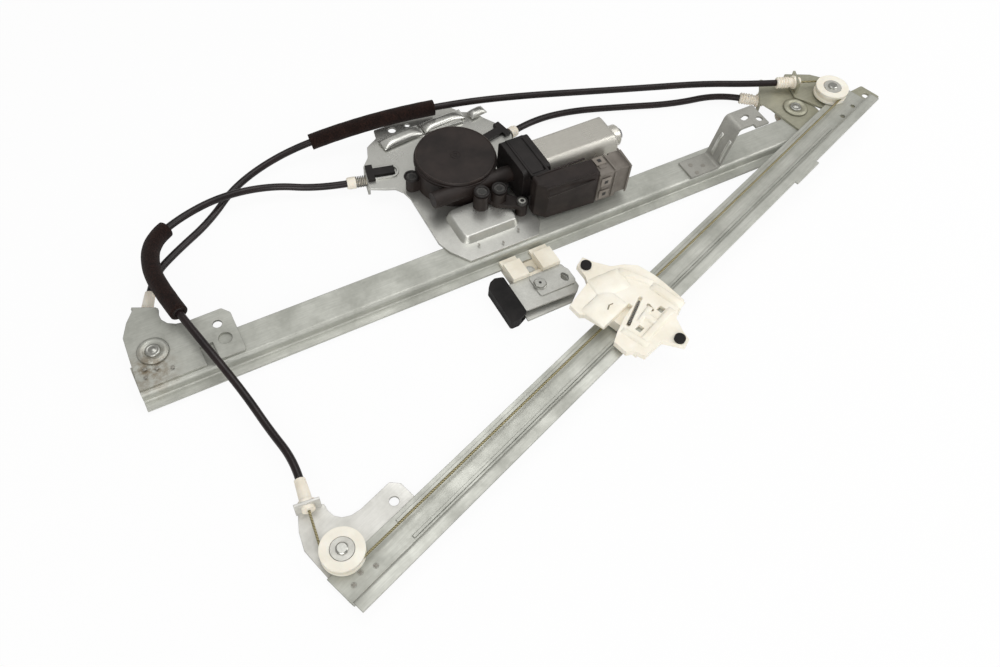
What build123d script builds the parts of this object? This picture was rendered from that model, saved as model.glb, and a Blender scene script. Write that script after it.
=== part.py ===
from build123d import *
from math import asin, cos, degrees, pi, radians, sin, tan
import os

# Dual-rail window regulator of a car door, with two pressed rails joined by their cables.
# Millimetres. Origin at the rear rail's lower tab hole, on the plate's outer face.
# +X runs up the rear rail, +Z away from the floor. Inside each rail's own frame, u runs from
# the lower pulley to the upper one, v across it, and h from the plates' outer face inwards.

os.makedirs("parts", exist_ok=True)

# Sheet metal
plate_t = 2.0
strip_t = 1.5
press_fillet = 2.0

# Rail section
web_edge = 5.0
web_w = 26.5
flange_w = 8.5
rail_depth = 10.0
fold_r = 2.0
bead_w = 2.4
bead_h = 0.7
bead_set = 4.5
rail_overhang = 19.0
rear_span = 615.0
front_span = 626.0

# Pulleys and their rivets
pulley_r = 15.5
pulley_t = 9.0
pulley_gap = 0.5
wrap_r = 13.0
groove_half = 1.3
groove_slope = 1.0
groove_gap = 0.3
bush_r = 4.5
bush_flange_r = 8.25
bush_flange_t = 1.4
bush_recess_gap = 0.25
running_gap = 0.05
rivet_r = 3.0
rivet_head_r = 4.3
rivet_head_t = 1.8
upset_r = 4.5
upset_t = 1.5
emboss_r = 9.5
emboss_t = 1.2

# Cable, conduit and conduit ends
cable_r = 0.9
conduit_r = 3.0
foam_r = 7.0
foam_gap = 0.1
ear_w = 18.0
ear_drop = 14.5
ear_hole_r = 3.5
stem_r = 3.3
stem_tail = 3.0
stem_tail_r = 4.6
nipple_flange_r = 6.2
nipple_flange_t = 2.0
nipple_r = 4.6
nipple_tip_r = 4.0
lower_ear = 40.0
lower_exit = 19.0
lower_heading = 64.0
upper_ear = 33.0
upper_exit = 18.0
rear_upper_heading = 143.0
front_upper_heading = 139.0

# Where the rails lie
tab_hole_u = 49.5
tab_hole_v = 3.0
tab_hole_r = 3.6
front_u = 60.8
front_v = -202.0
front_turn = 18.62
rest_u = 597.0
rest_gap = 0.3

# Drum and worm drive
drum_u = 281.0
drum_v = 60.0
drum_wrap_r = 18.0
drum_r = 20.0
groove_floor = 1.0
drum_low = 12.2
drum_high = 4.2
left_level = 6.4
right_level = 9.6
left_heading = 167.0
right_heading = 12.0
arm_reach = 74.0
left_spring_l = 9.0
right_spring_l = 6.5
collar_l = 7.5
collar_r = 5.2
spring_r = 4.4
wire_r = 0.7
wire_pitch = 2.3
case_gap = 2.4
case_wall = 2.2
case_floor = 1.8
axle_r = 4.0
boss_r = 9.0
boss_gap = 0.6
module = 0.72
wheel_teeth = 73
wheel_t = 8.0
wheel_hub_r = 12.0
worm_r = 4.0
worm_tip_r = 4.45
worm_core_r = 3.3
worm_l = 18.0
thread_w = 0.62
tooth_w = 1.0
tooth_h = 1.3
tooth_flank = 80.0
axis_z = 17.0
gearbox_r = 34.2
gearbox_wall = 2.4
gearbox_floor = 2.5
gearbox_h = 24.0
cover_t = 2.5
cover_lip = 0.8
tube_r = 7.0
tube_bore_r = 5.0
tube_end = 36.5
shaft_r = 2.5

# Motor
holder_from = 36.0
holder_to = 62.0
holder_low_v = 8.0
holder_high_v = 51.0
holder_low = 2.5
holder_high = 35.0
holder_fillet = 4.5
can_l = 72.0
can_r = 19.5
can_flat = 15.0
can_t = 1.6
can_edge = 2.0
cap_r = 9.5
cap_l = 11.0
core_r = 11.8
core_l = 38.0
core_gap = 7.0
commutator_r = 6.0
commutator_l = 15.0
magnet_t = 3.6
magnet_arc = 100.0
brush_w = 4.0
brush_gap = 0.1

# Control box and connector
box_turn = -4.0
box_ahead = 4.5
box_mid_v = -8.5
box_l = 55.0
box_w = 17.0
box_low = 1.5
box_h = 36.5
box_chamfer = 8.0
box_wall = 1.6
bridge_far = 26.0
bridge_near = 6.0
bridge_l = 8.0
bridge_low = 4.0
bridge_h = 26.0
plug_back_l = 18.0
plug_back_w = 18.5
plug_back_low = 4.0
plug_back_h = 31.0
plug_l = 13.0
plug_w = 20.0
plug_low = 6.0
plug_h = 28.0
plug_wall = 2.0
plug_shift = 2.0
latch_w = 6.0
latch_t = 0.8
pin_w = 1.2
pin_l = 8.5
pin_pitch = 4.4
pin_rows = 5

# Motor plate
pad_from_u = 252.0
pad_to_u = 306.0
pad_low_v = -12.0
pad_high_v = 25.0
pad_h = 7.0
pad_draft = 20.0
pad_corner_r = 7.0
pad_edge_r = 1.5
post_r = 6.5
post_high = 22.0
low_post_r = 5.0
low_post_high = 12.0
lug_high = 12.0
post_bore_r = 2.6
screw_r = 2.5
screw_head_r = 4.6
screw_head_t = 2.4
bar_w = 8.0
bar_h = 2.6
bar_l = 34.0
bay_w = 15.0
bay_l = 27.0
bay_rim = 2.0
bay_h = 1.4
clip_l = 24.0
clip_w = 8.0
clip_t = 3.2
clip_head_w = 17.0
clip_head_l = 6.0

# Offset bracket
bracket_foot_u = 470.0
bracket_foot_l = 31.0
bracket_near = 31.0
bracket_w = 20.0
bracket_rise = 44.0
bracket_leg_l = 8.5
bracket_top_l = 28.5
bracket_lobe_l = 14.0
bracket_lobe_w = 4.0
bracket_hole_r = 3.0

# Carriers
carrier_from = 250.0
carrier_to = 319.0
slide_gap = 0.3
block_l = 15.0
block_w = 17.0
block_top = 3.0
block_low = 14.6
lip_w = 6.0
lip_t = 3.2
shoe_t = 2.3
inner_l = 20.0
inner_w = 19.0
inner_top = 5.0
cable_port_r = 1.3
cable_end_r = 2.4
cable_end_l = 9.0
jaw_reach = 34.0
jaw_plate_t = 1.5
jaw_top = 6.5
jaw_gap = 4.6
jaw_cover_t = 1.2
jaw_back = 2.0
washer_plate_t = 1.3
clamp_head_r = 5.2
clamp_head_t = 2.7
clamp_thread_r = 2.5
rubber_l = 17.0
rubber_w = 43.0
rubber_top = 5.0
front_skin_low = 15.0
front_skin_t = 5.0
front_grip_low = 7.5
button_r = 4.4
button_h = 2.4
link_r = 1.2
link_ball_r = 2.4
stop_from = 496.0
stop_l = 35.0
stop_w = 3.0

# Levels counted from a plate's outer face towards its pulleys
web_low = plate_t + strip_t
flange_low = plate_t + rail_depth - strip_t
flange_high = plate_t + rail_depth
pulley_low = web_low + pulley_gap
pulley_high = pulley_low + pulley_t
cable_h = pulley_low + pulley_t / 2
bush_high = pulley_high + 0.2
head_high = bush_high + rivet_head_t
floor_z = -head_high
wall_v = -(web_edge + web_w)
flange_v = wall_v - flange_w

# Frames of the two rails. The rear one lies face up, the front one is turned over and leans on it
REAR = -1
FRONT = 1
UP = 1
tilt = degrees(asin((head_high - upset_t + rest_gap) / rest_u))
along = (
    cos(radians(front_turn)) * cos(radians(tilt)),
    sin(radians(front_turn)) * cos(radians(tilt)),
    sin(radians(tilt)),
)
upward = (
    -cos(radians(front_turn)) * sin(radians(tilt)),
    -sin(radians(front_turn)) * sin(radians(tilt)),
    cos(radians(tilt)),
)
rear = Plane(origin=(-tab_hole_u, -tab_hole_v, 0), x_dir=(1, 0, 0), z_dir=(0, 0, 1))
front_origin = (front_u - tab_hole_u, front_v - tab_hole_v, floor_z + upset_t)
front = Plane(origin=front_origin, x_dir=along, z_dir=upward)


def spot(frame, side, u, v, h):
    """Point of a rail's frame, with h counted from the plates' outer face towards the pulleys."""
    return frame.from_local_coords((u, v, side * h))


def heading(frame, angle):
    """Direction in the plane of a rail, turned by an angle from its length."""
    return frame.x_dir * cos(radians(angle)) + frame.y_dir * sin(radians(angle))


def cross_plane(frame, side, u, v, h, angle=0.0):
    """Plane across a heading, with its x to the left of it and its y towards the plates' outer normal."""
    forward = heading(frame, angle)
    return Plane(origin=spot(frame, side, u, v, h), x_dir=heading(frame, angle + 90), z_dir=forward)


def axial(frame, side, u, v):
    """Plane that holds a pulley's axis, its x along the axis from the plate's outer face inwards."""
    return Plane(origin=spot(frame, side, u, v, 0), x_dir=frame.z_dir * side, z_dir=frame.x_dir)


def turned(station, profile):
    """Solid turned about the x axis of a plane, from points given along the axis and away from it."""
    with BuildPart() as piece:
        with BuildSketch(station):
            with BuildLine():
                Polyline(*profile, close=True)
            make_face()
        revolve(axis=Axis(station.origin, station.x_dir))
    return piece.part


def slab(frame, side, outline, low, high, radius=0.0):
    """Flat plate between two levels of a rail's frame, its outline's corners rounded."""
    with BuildPart() as piece:
        with BuildSketch(frame.offset(side * low)):
            with BuildLine():
                if radius:
                    FilletPolyline(*outline, radius=radius, close=True)
                else:
                    Polyline(*outline, close=True)
            make_face()
        extrude(amount=side * (high - low))
    return piece.part


def block(frame, side, from_u, to_u, from_v, to_v, low, high):
    """Box between two lengths, two widths and two levels of a rail's frame."""
    outline = [(from_u, from_v), (to_u, from_v), (to_u, to_v), (from_u, to_v)]
    return slab(frame, side, outline, low, high)


def bore(frame, side, u, v, radius, low, high):
    """Round hole's tool between two levels of a rail's frame."""
    with BuildPart() as piece:
        with BuildSketch(frame.offset(side * low)):
            with Locations((u, v)):
                Circle(radius)
        extrude(amount=side * (high - low))
    return piece.part


def keep(piece, name):
    """Label a finished piece and write it under its node's name."""
    piece.part.label = name
    export_step(piece.part, f"parts/{name}.step")


def make_rail(frame, side, span, stop=None):
    """Rolled strip: a web over the cable, a wall and a running flange, with two stiffening beads."""
    start = cross_plane(frame, side, -rail_overhang, 0, 0)
    full = span + 2 * rail_overhang
    web_mid = side * (plate_t + strip_t / 2)
    flange_mid = side * (flange_high - strip_t / 2)
    wall_mid = wall_v + strip_t / 2
    with BuildPart() as rail:
        with BuildSketch(start):
            with BuildLine():
                FilletPolyline(
                    (-web_edge, web_mid),
                    (wall_mid, web_mid),
                    (wall_mid, flange_mid),
                    (flange_v, flange_mid),
                    radius=fold_r,
                )
            trace(line_width=strip_t)
        extrude(amount=full)
        for bead_v in (-web_edge - bead_set, wall_v + strip_t + bead_set):
            near = 2 * rail_overhang + plate_t
            add(block(frame, side, near, span - near, bead_v - bead_w / 2, bead_v + bead_w / 2,
                      web_low, web_low + bead_h))
        if stop:
            add(block(frame, side, stop, stop + stop_l, flange_v - stop_w, flange_v, flange_low, flange_high))
    return rail


def ear_point(heading_deg, reach, centre_u=0.0, centre_v=0.0, radius=wrap_r, turn=1):
    """Point on the cable's tangent, a reach away from where it leaves a pulley or drum."""
    phi = radians(heading_deg)
    touch_u = centre_u - turn * radius * sin(phi)
    touch_v = centre_v + turn * radius * cos(phi)
    return touch_u + reach * cos(phi), touch_v + reach * sin(phi)


def make_ear(frame, side, point, angle, level):
    """Bent ear with the hole that a conduit end sits in, its outer face at the point."""
    face = cross_plane(frame, side, point[0], point[1], 0, angle)
    with BuildPart() as ear:
        with BuildSketch(face):
            with Locations((0, side * ear_drop / 2)):
                Rectangle(ear_w, ear_drop)
            with Locations((0, side * level)):
                Circle(ear_hole_r, mode=Mode.SUBTRACT)
        extrude(amount=-plate_t)
    return ear.part


def make_end_plate(frame, side, outline, centre_u, ear_at, angle, holes, notch=None):
    """Welded end plate with its rivet hole, the ring pressed up round it and the bent conduit ear."""
    with BuildPart() as plate:
        add(slab(frame, side, outline, 0, plate_t, press_fillet))
        with BuildSketch(frame):
            with Locations((centre_u, 0)):
                Circle(emboss_r)
                Circle(upset_r, mode=Mode.SUBTRACT)
        extrude(amount=-side * emboss_t, taper=25)
        add(make_ear(frame, side, ear_at, angle, cable_h))
        add(bore(frame, side, centre_u, 0, rivet_r, -emboss_t, plate_t), mode=Mode.SUBTRACT)
        for hole_u, hole_v, hole_r in holes:
            add(bore(frame, side, hole_u, hole_v, hole_r, 0, plate_t), mode=Mode.SUBTRACT)
        if notch:
            add(block(frame, side, *notch, 0, plate_t), mode=Mode.SUBTRACT)
    return plate


# Rails
rear_rail = make_rail(rear, REAR, rear_span)
keep(rear_rail, "rear_rail")

front_rail = make_rail(front, FRONT, front_span, stop=stop_from)
for hole_u in (front_span - 17.0, front_span + 2.0):
    with BuildPart() as front_drilled:
        add(front_rail.part)
        add(bore(front, FRONT, hole_u, -25.0, 2.2, plate_t, web_low), mode=Mode.SUBTRACT)
    front_rail = front_drilled
keep(front_rail, "front_rail")

# End plates. Lower and upper outlines are shared, counted from the pulley's axis
weld_edge_v = wall_v + strip_t + 2.0
lower_outline = [
    (-rail_overhang, weld_edge_v), (61.0, weld_edge_v), (62.0, 9.0), (57.0, 15.5),
    (30.0, 15.2), (22.5, 16.6), (17.0, 20.0), (14.0, 25.0), (13.8, 31.0), (15.5, 36.5), (-1.0, 44.5),
    (-10.0, 33.0), (-16.0, 21.0), (-16.5, 14.0),
]
upper_outline = [
    (-15.0, weld_edge_v), (rail_overhang, weld_edge_v), (rail_overhang, 14.0), (12.0, 29.0),
    (-6.0, 47.5), (-26.0, 22.0), (-22.0, 9.0),
]
upper_tab = [(-15.0, weld_edge_v), (rail_overhang, wall_v + strip_t - 4.5), (34.5, -36.5), (35.0, -16.0),
             (rail_overhang, -12.0), (rail_overhang, 14.0), (12.0, 29.0), (-6.0, 47.5), (-26.0, 22.0), (-22.0, 9.0)]
tab_notch = (31.0, 41.0, weld_edge_v - 1.0, -11.0)
tab_holes = [(tab_hole_u, tab_hole_v, tab_hole_r)]
rear_tab_holes = tab_holes + [(tab_hole_u + 1.0, -11.5, 5.2)]
lower_point = ear_point(lower_heading, lower_ear)

rear_lower_plate = make_end_plate(
    rear, REAR, lower_outline, 0.0, lower_point, lower_heading, rear_tab_holes, tab_notch)
keep(rear_lower_plate, "rear_lower_plate")

front_lower_plate = make_end_plate(
    front, FRONT, lower_outline, 0.0, lower_point, lower_heading, tab_holes, tab_notch)
keep(front_lower_plate, "front_lower_plate")


def shifted(outline, span):
    """Outline moved along the rail to the upper pulley."""
    return [(u + span, v) for u, v in outline]


rear_upper_point = ear_point(rear_upper_heading, upper_ear, rear_span, turn=-1)
rear_upper_plate = make_end_plate(
    rear, REAR, shifted(upper_outline, rear_span), rear_span, rear_upper_point, rear_upper_heading, [])
keep(rear_upper_plate, "rear_upper_plate")

front_upper_point = ear_point(front_upper_heading, upper_ear, front_span, turn=-1)
front_upper_plate = make_end_plate(
    front, FRONT, shifted(upper_tab, front_span), front_span, front_upper_point, front_upper_heading,
    [(front_span + 26.0, -26.0, tab_hole_r)])
keep(front_upper_plate, "front_upper_plate")

# Pulleys, their bushes and rivets
pulley_profile = [
    (pulley_low, bush_r + running_gap),
    (pulley_low, pulley_r),
    (cable_h - groove_half - groove_slope, pulley_r),
    (cable_h - groove_half, wrap_r - cable_r - groove_gap),
    (cable_h + groove_half, wrap_r - cable_r - groove_gap),
    (cable_h + groove_half + groove_slope, pulley_r),
    (pulley_high, pulley_r),
    (pulley_high, bush_flange_r + groove_gap),
    (bush_high - bush_flange_t - bush_recess_gap, bush_flange_r + groove_gap),
    (bush_high - bush_flange_t - bush_recess_gap, bush_r + running_gap),
]
bush_profile = [
    (plate_t, rivet_r),
    (plate_t, bush_r),
    (bush_high - bush_flange_t, bush_r),
    (bush_high - bush_flange_t, bush_flange_r),
    (bush_high, bush_flange_r),
    (bush_high, rivet_r),
]
rivet_profile = [
    (-upset_t, 0),
    (-upset_t, upset_r - 0.9),
    (-upset_t + 0.9, upset_r),
    (0, upset_r),
    (0, rivet_r),
    (bush_high, rivet_r),
    (bush_high, rivet_head_r),
    (head_high - 0.7, rivet_head_r),
    (head_high, rivet_head_r - 0.9),
    (head_high, 0),
]
pulley_seats = {
    "rear_lower": (rear, REAR, 0.0),
    "rear_upper": (rear, REAR, rear_span),
    "front_lower": (front, FRONT, 0.0),
    "front_upper": (front, FRONT, front_span),
}
for place, (frame, side, seat_u) in pulley_seats.items():
    with BuildPart() as pulley:
        add(turned(axial(frame, side, seat_u, 0), pulley_profile))
    keep(pulley, f"{place}_pulley")

with BuildPart() as pulley_bushes:
    for frame, side, seat_u in pulley_seats.values():
        add(turned(axial(frame, side, seat_u, 0), bush_profile))
keep(pulley_bushes, "pulley_bushes")

with BuildPart() as pulley_rivets:
    for frame, side, seat_u in pulley_seats.values():
        add(turned(axial(frame, side, seat_u, 0), rivet_profile))
keep(pulley_rivets, "pulley_rivets")


# Conduit ends on the rails
def outward(frame, side, point, angle, level):
    """Plane on a conduit end's axis, its x pointing out of the ear."""
    return Plane(origin=spot(frame, side, point[0], point[1], level), x_dir=heading(frame, angle),
                 z_dir=frame.z_dir)


def make_nipple(frame, side, point, angle, level, exit_l):
    """Moulded conduit end: a tail behind the ear, a stem through it, a flange and a barrel."""
    profile = [
        (-plate_t - stem_tail, cable_r + groove_gap),
        (-plate_t - stem_tail, stem_tail_r),
        (-plate_t, stem_tail_r),
        (-plate_t, stem_r),
        (0, stem_r),
        (0, nipple_flange_r),
        (nipple_flange_t, nipple_flange_r),
        (nipple_flange_t, nipple_r),
        (exit_l, nipple_tip_r),
        (exit_l, cable_r + groove_gap),
    ]
    with BuildPart() as nipple:
        add(turned(outward(frame, side, point, angle, level), profile))
    return nipple


rail_nipples = {
    "rear_lower_nipple": (rear, REAR, lower_point, lower_heading, lower_exit),
    "rear_upper_nipple": (rear, REAR, rear_upper_point, rear_upper_heading, upper_exit),
    "front_lower_nipple": (front, FRONT, lower_point, lower_heading, lower_exit),
    "front_upper_nipple": (front, FRONT, front_upper_point, front_upper_heading, upper_exit),
}
for name, (frame, side, point, angle, exit_l) in rail_nipples.items():
    keep(make_nipple(frame, side, point, angle, cable_h, exit_l), name)


# Cable runs along the rails
def make_rail_cable(frame, side, span, upper_heading):
    """Cable from the lower conduit end round the lower pulley, up the rail and round the upper pulley."""
    low_touch = ear_point(lower_heading, 0.0)
    low_tail = ear_point(lower_heading, lower_ear)
    high_touch = ear_point(upper_heading, 0.0, span, turn=-1)
    high_tail = ear_point(upper_heading, upper_ear, span, turn=-1)
    plane = frame.offset(side * cable_h)
    with BuildPart() as cable:
        with BuildLine(plane) as path:
            Line(low_tail, low_touch)
            CenterArc((0, 0), wrap_r, lower_heading + 90, 180 - lower_heading)
            Line((0, -wrap_r), (span, -wrap_r))
            CenterArc((span, 0), wrap_r, -90, upper_heading)
            Line(high_touch, high_tail)
        with BuildSketch(cross_plane(frame, side, *low_tail, cable_h, lower_heading)):
            Circle(cable_r)
        sweep(path=path.wire())
    return cable


keep(make_rail_cable(rear, REAR, rear_span, rear_upper_heading), "rear_rail_cable")
keep(make_rail_cable(front, FRONT, front_span, front_upper_heading), "front_rail_cable")

# Motor plate
left_point = ear_point(left_heading, arm_reach, drum_u, drum_v, drum_wrap_r, turn=-1)
right_point = ear_point(right_heading, arm_reach, drum_u, drum_v, drum_wrap_r)


def arm_corner(point, angle, out, across):
    """Corner of an arm's outline, from the cable's point at its ear."""
    turn = radians(angle)
    return (point[0] + out * cos(turn) - across * sin(turn), point[1] + out * sin(turn) + across * cos(turn))


motor_outline = [
    (250.0, weld_edge_v), (314.0, weld_edge_v), (322.0, -16.0), (325.0, 12.0), (327.0, 30.0), (334.0, 49.0),
    arm_corner(right_point, right_heading, -11.5, -25.6), arm_corner(right_point, right_heading, 0, -9.0),
    arm_corner(right_point, right_heading, -1.5, 10.0), arm_corner(right_point, right_heading, -6.0, 22.0),
    (334.0, 124.0), (324.0, 129.0), (316.0, 141.0), (242.0, 141.0), (240.0, 131.0), (228.0, 124.0),
    arm_corner(left_point, left_heading, -6.0, -20.0), arm_corner(left_point, left_heading, 0, -10.0),
    arm_corner(left_point, left_heading, 0, 15.6), arm_corner(left_point, left_heading, -14.0, 19.0),
    (229.5, 69.5), (234.0, 63.0), (236.0, 54.0), (235.0, 0.0), (239.0, -12.0),
]
post_spots = [(282.0, 15.5), (297.0, 12.5)]
low_post_spots = [(312.5, 0.0), (242.0, 64.0)]
plate_holes = [(257.0, 134.5, 3.6), (272.0, 134.5, 2.4)]
with BuildPart() as motor_plate:
    add(slab(rear, REAR, motor_outline, 0, plate_t, press_fillet))
    with BuildSketch(rear):
        with Locations(((pad_from_u + pad_to_u) / 2, (pad_low_v + pad_high_v) / 2)):
            RectangleRounded(pad_to_u - pad_from_u, pad_high_v - pad_low_v, pad_corner_r)
    extrude(amount=pad_h, taper=pad_draft)
    fillet(motor_plate.faces().sort_by(Axis.Z)[-1].edges(), radius=pad_edge_r)
    with BuildSketch(rear.offset(-plate_t)):
        with Locations(((pad_from_u + pad_to_u) / 2, (pad_low_v + pad_high_v) / 2)):
            RectangleRounded(pad_to_u - pad_from_u - 2 * plate_t, pad_high_v - pad_low_v - 2 * plate_t,
                             pad_corner_r - plate_t)
    extrude(amount=pad_h, taper=pad_draft, mode=Mode.SUBTRACT)
    for bar_u, bar_v, bar_turn in ((264.0, 122.0, -6.0), (302.0, 119.0, -2.0)):
        with BuildSketch(rear):
            with Locations(Location((bar_u, bar_v), bar_turn)):
                Rectangle(bar_l, bar_w)
        extrude(amount=bar_h, taper=pad_draft)
    for point, angle, level in ((left_point, left_heading, left_level), (right_point, right_heading, right_level)):
        add(make_ear(rear, REAR, point, angle, level))
    bay_centre = ear_point(left_heading, arm_reach - bay_l / 2 - bay_rim, drum_u, drum_v, drum_wrap_r, turn=-1)
    with BuildSketch(rear):
        with Locations(Location(bay_centre, left_heading)):
            SlotOverall(bay_l, bay_w)
            SlotOverall(bay_l - 2 * bay_rim, bay_w - 2 * bay_rim, mode=Mode.SUBTRACT)
    extrude(amount=bay_h)
    add(bore(rear, REAR, drum_u, drum_v, boss_r + boss_gap, 0, plate_t), mode=Mode.SUBTRACT)
    for hole_u, hole_v, hole_r in plate_holes:
        add(bore(rear, REAR, hole_u, hole_v, hole_r, 0, plate_t), mode=Mode.SUBTRACT)
    for post_u, post_v in post_spots + low_post_spots:
        add(bore(rear, REAR, post_u, post_v, post_bore_r, -pad_h, plate_t), mode=Mode.SUBTRACT)
keep(motor_plate, "motor_plate")


# Spring-loaded conduit ends at the motor plate
def make_spring_end(point, angle, level, spring_l):
    """Conduit end whose stem slides in the ear, with the collar that its spring pushes out."""
    end = spring_l + collar_l
    profile = [
        (-plate_t - stem_tail, cable_r + groove_gap),
        (-plate_t - stem_tail, stem_r),
        (spring_l, stem_r),
        (spring_l, collar_r),
        (end - 2.0, collar_r),
        (end, nipple_r),
        (end, cable_r + groove_gap),
    ]
    with BuildPart() as nipple:
        add(turned(outward(rear, REAR, point, angle, level), profile))
    return nipple


keep(make_spring_end(left_point, left_heading, left_level, left_spring_l), "left_spring_nipple")
keep(make_spring_end(right_point, right_heading, right_level, right_spring_l), "right_spring_nipple")

with BuildPart() as tension_springs:
    for point, angle, level, spring_l in (
        (left_point, left_heading, left_level, left_spring_l),
        (right_point, right_heading, right_level, right_spring_l),
    ):
        axis_plane = cross_plane(rear, REAR, point[0], point[1], level, angle).offset(wire_r)
        coil = Helix(
            pitch=wire_pitch,
            height=spring_l - 2 * wire_r,
            radius=spring_r,
            center=axis_plane.origin,
            direction=axis_plane.z_dir,
        )
        with BuildSketch(Plane(origin=coil @ 0, z_dir=coil % 0)):
            Circle(wire_r)
        sweep(path=coil, is_frenet=True)
keep(tension_springs, "tension_springs")

with BuildPart() as retaining_clips:
    for turn, angle in ((-1, left_heading), (1, right_heading)):
        middle = ear_point(angle, arm_reach - clip_l / 2 - 1.0, drum_u, drum_v, drum_wrap_r, turn=turn)
        head = ear_point(angle, arm_reach - clip_head_l / 2 - 1.0, drum_u, drum_v, drum_wrap_r, turn=turn)
        with BuildSketch(rear):
            with Locations(Location(middle, angle)):
                Rectangle(clip_l, clip_w)
            with Locations(Location(head, angle)):
                Rectangle(clip_head_l, clip_head_w)
        extrude(amount=clip_t)
with BuildPart() as clips_clear_of_bay:
    add(retaining_clips.part)
    with BuildSketch(rear):
        with Locations(Location(bay_centre, left_heading)):
            SlotOverall(bay_l + 2 * groove_gap, bay_w + 2 * groove_gap)
            SlotOverall(bay_l - 2 * bay_rim - 2 * groove_gap, bay_w - 2 * bay_rim - 2 * groove_gap,
                        mode=Mode.SUBTRACT)
    extrude(amount=bay_h + groove_gap, mode=Mode.SUBTRACT)
keep(clips_clear_of_bay, "retaining_clips")

# Cable drum, its case under the plate, and the fixed axle
drum_floor_r = drum_wrap_r - cable_r - groove_gap
drum_axis = Plane(origin=rear.from_local_coords((drum_u, drum_v, 0)), x_dir=(0, 0, 1), z_dir=(1, 0, 0))
wheel_low = axis_z - wheel_t / 2
hub_low = gearbox_floor + 0.6
drum_profile = [
    (-drum_low, axle_r + running_gap),
    (-drum_low, drum_r),
    (-right_level - groove_floor - 0.3, drum_r),
    (-right_level - groove_floor, drum_floor_r),
    (-right_level + groove_floor, drum_floor_r),
    (-right_level + groove_floor + 0.3, drum_r),
    (-left_level - groove_floor - 0.3, drum_r),
    (-left_level - groove_floor, drum_floor_r),
    (-left_level + groove_floor, drum_floor_r),
    (-left_level + groove_floor + 0.3, drum_r),
    (-drum_high, drum_r),
    (-drum_high, boss_r),
    (hub_low, boss_r),
    (hub_low, axle_r + running_gap),
]
with BuildPart() as cable_drum:
    add(turned(drum_axis, drum_profile))
keep(cable_drum, "cable_drum")

case_r = drum_r + case_gap
with BuildPart() as drum_case:
    add(bore(rear, REAR, drum_u, drum_v, case_r + case_wall, plate_t, head_high))
    add(bore(rear, REAR, drum_u, drum_v, case_r, plate_t, head_high - case_floor), mode=Mode.SUBTRACT)
    add(bore(rear, REAR, drum_u, drum_v, axle_r, plate_t, head_high), mode=Mode.SUBTRACT)
    for turn, angle, level in ((-1, left_heading, left_level), (1, right_heading, right_level)):
        start_u, start_v = ear_point(angle, 0.0, drum_u, drum_v, drum_wrap_r, turn=turn)
        with BuildSketch(cross_plane(rear, REAR, start_u, start_v, level, angle)):
            Rectangle(5.0, 4.0)
        extrude(amount=case_r + case_wall + 4.0, mode=Mode.SUBTRACT)
keep(drum_case, "drum_case")

axle_top = gearbox_h - 0.4
with BuildPart() as drum_axle:
    add(bore(rear, REAR, drum_u, drum_v, axle_r, -axle_top, head_high))
keep(drum_axle, "drum_axle")


# Cable runs at the drum
def make_drum_cable(angle, level, turn):
    """Cable from a spring-loaded conduit end to the drum, and most of a turn round it."""
    touch = ear_point(angle, 0.0, drum_u, drum_v, drum_wrap_r, turn=turn)
    tail = ear_point(angle, arm_reach, drum_u, drum_v, drum_wrap_r, turn=turn)
    plane = rear.offset(-level)
    wrap = 140.0
    with BuildPart() as cable:
        with BuildLine(plane) as path:
            Line(tail, touch)
            CenterArc((drum_u, drum_v), drum_wrap_r, angle + turn * 90, turn * wrap)
        with BuildSketch(cross_plane(rear, REAR, *tail, level, angle)):
            Circle(cable_r)
        sweep(path=path.wire())
    return cable


keep(make_drum_cable(left_heading, left_level, -1), "left_drum_cable")
keep(make_drum_cable(right_heading, right_level, 1), "right_drum_cable")

# Worm wheel
wheel_r = module * wheel_teeth / 2
wheel_root_r = wheel_r - 0.68
tooth_angle = 360 / wheel_teeth
worm_v = drum_v - wheel_r - worm_r
with BuildPart() as worm_wheel:
    add(bore(rear, REAR, drum_u, drum_v, wheel_hub_r, -hub_low, -axis_z))
    with BuildSketch(rear.offset(wheel_low)):
        with Locations((drum_u, drum_v)):
            Circle(wheel_root_r)
            with PolarLocations(wheel_root_r, wheel_teeth, start_angle=-90 + tooth_angle / 2):
                with Locations((tooth_h / 2 - 0.05, 0)):
                    Trapezoid(tooth_w, tooth_h, tooth_flank, rotation=-90)
    extrude(amount=wheel_t)
    add(bore(rear, REAR, drum_u, drum_v, axle_r + running_gap, -hub_low, -axis_z - wheel_t), mode=Mode.SUBTRACT)
keep(worm_wheel, "worm_wheel")

# Worm shaft, along the rear rail, beside the wheel
shaft_plane = Plane(origin=rear.from_local_coords((drum_u, worm_v, axis_z)), x_dir=(1, 0, 0), z_dir=(0, 0, 1))
worm_pitch = module * pi
holder_end = drum_u + holder_to
can_end = holder_to + can_l
shaft_profile = [
    (-tube_end + 3.0, 0),
    (-tube_end + 3.0, shaft_r),
    (-worm_l / 2 - 1.5, shaft_r),
    (-worm_l / 2 - 1.5, worm_core_r),
    (worm_l / 2 + 1.5, worm_core_r),
    (worm_l / 2 + 1.5, shaft_r),
    (can_end + cap_l - 4.0, shaft_r),
    (can_end + cap_l - 4.0, 0),
]
thread = Helix(
    pitch=worm_pitch,
    height=worm_l,
    radius=worm_core_r - 0.1,
    center=shaft_plane.from_local_coords((-worm_l / 2, 0, 0)),
    direction=(1, 0, 0),
)
thread_start = thread @ 0
start_angle = degrees(Vector(0, 1, 0).get_signed_angle(
    Vector(0, thread_start.Y - shaft_plane.origin.Y, thread_start.Z - shaft_plane.origin.Z), Vector(1, 0, 0)
) * pi / 180)
turns_to_wheel = (-start_angle % 360) / 360
first_crossing = -worm_l / 2 + turns_to_wheel * worm_pitch
thread_shift = round(first_crossing / worm_pitch) * worm_pitch - first_crossing
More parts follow.
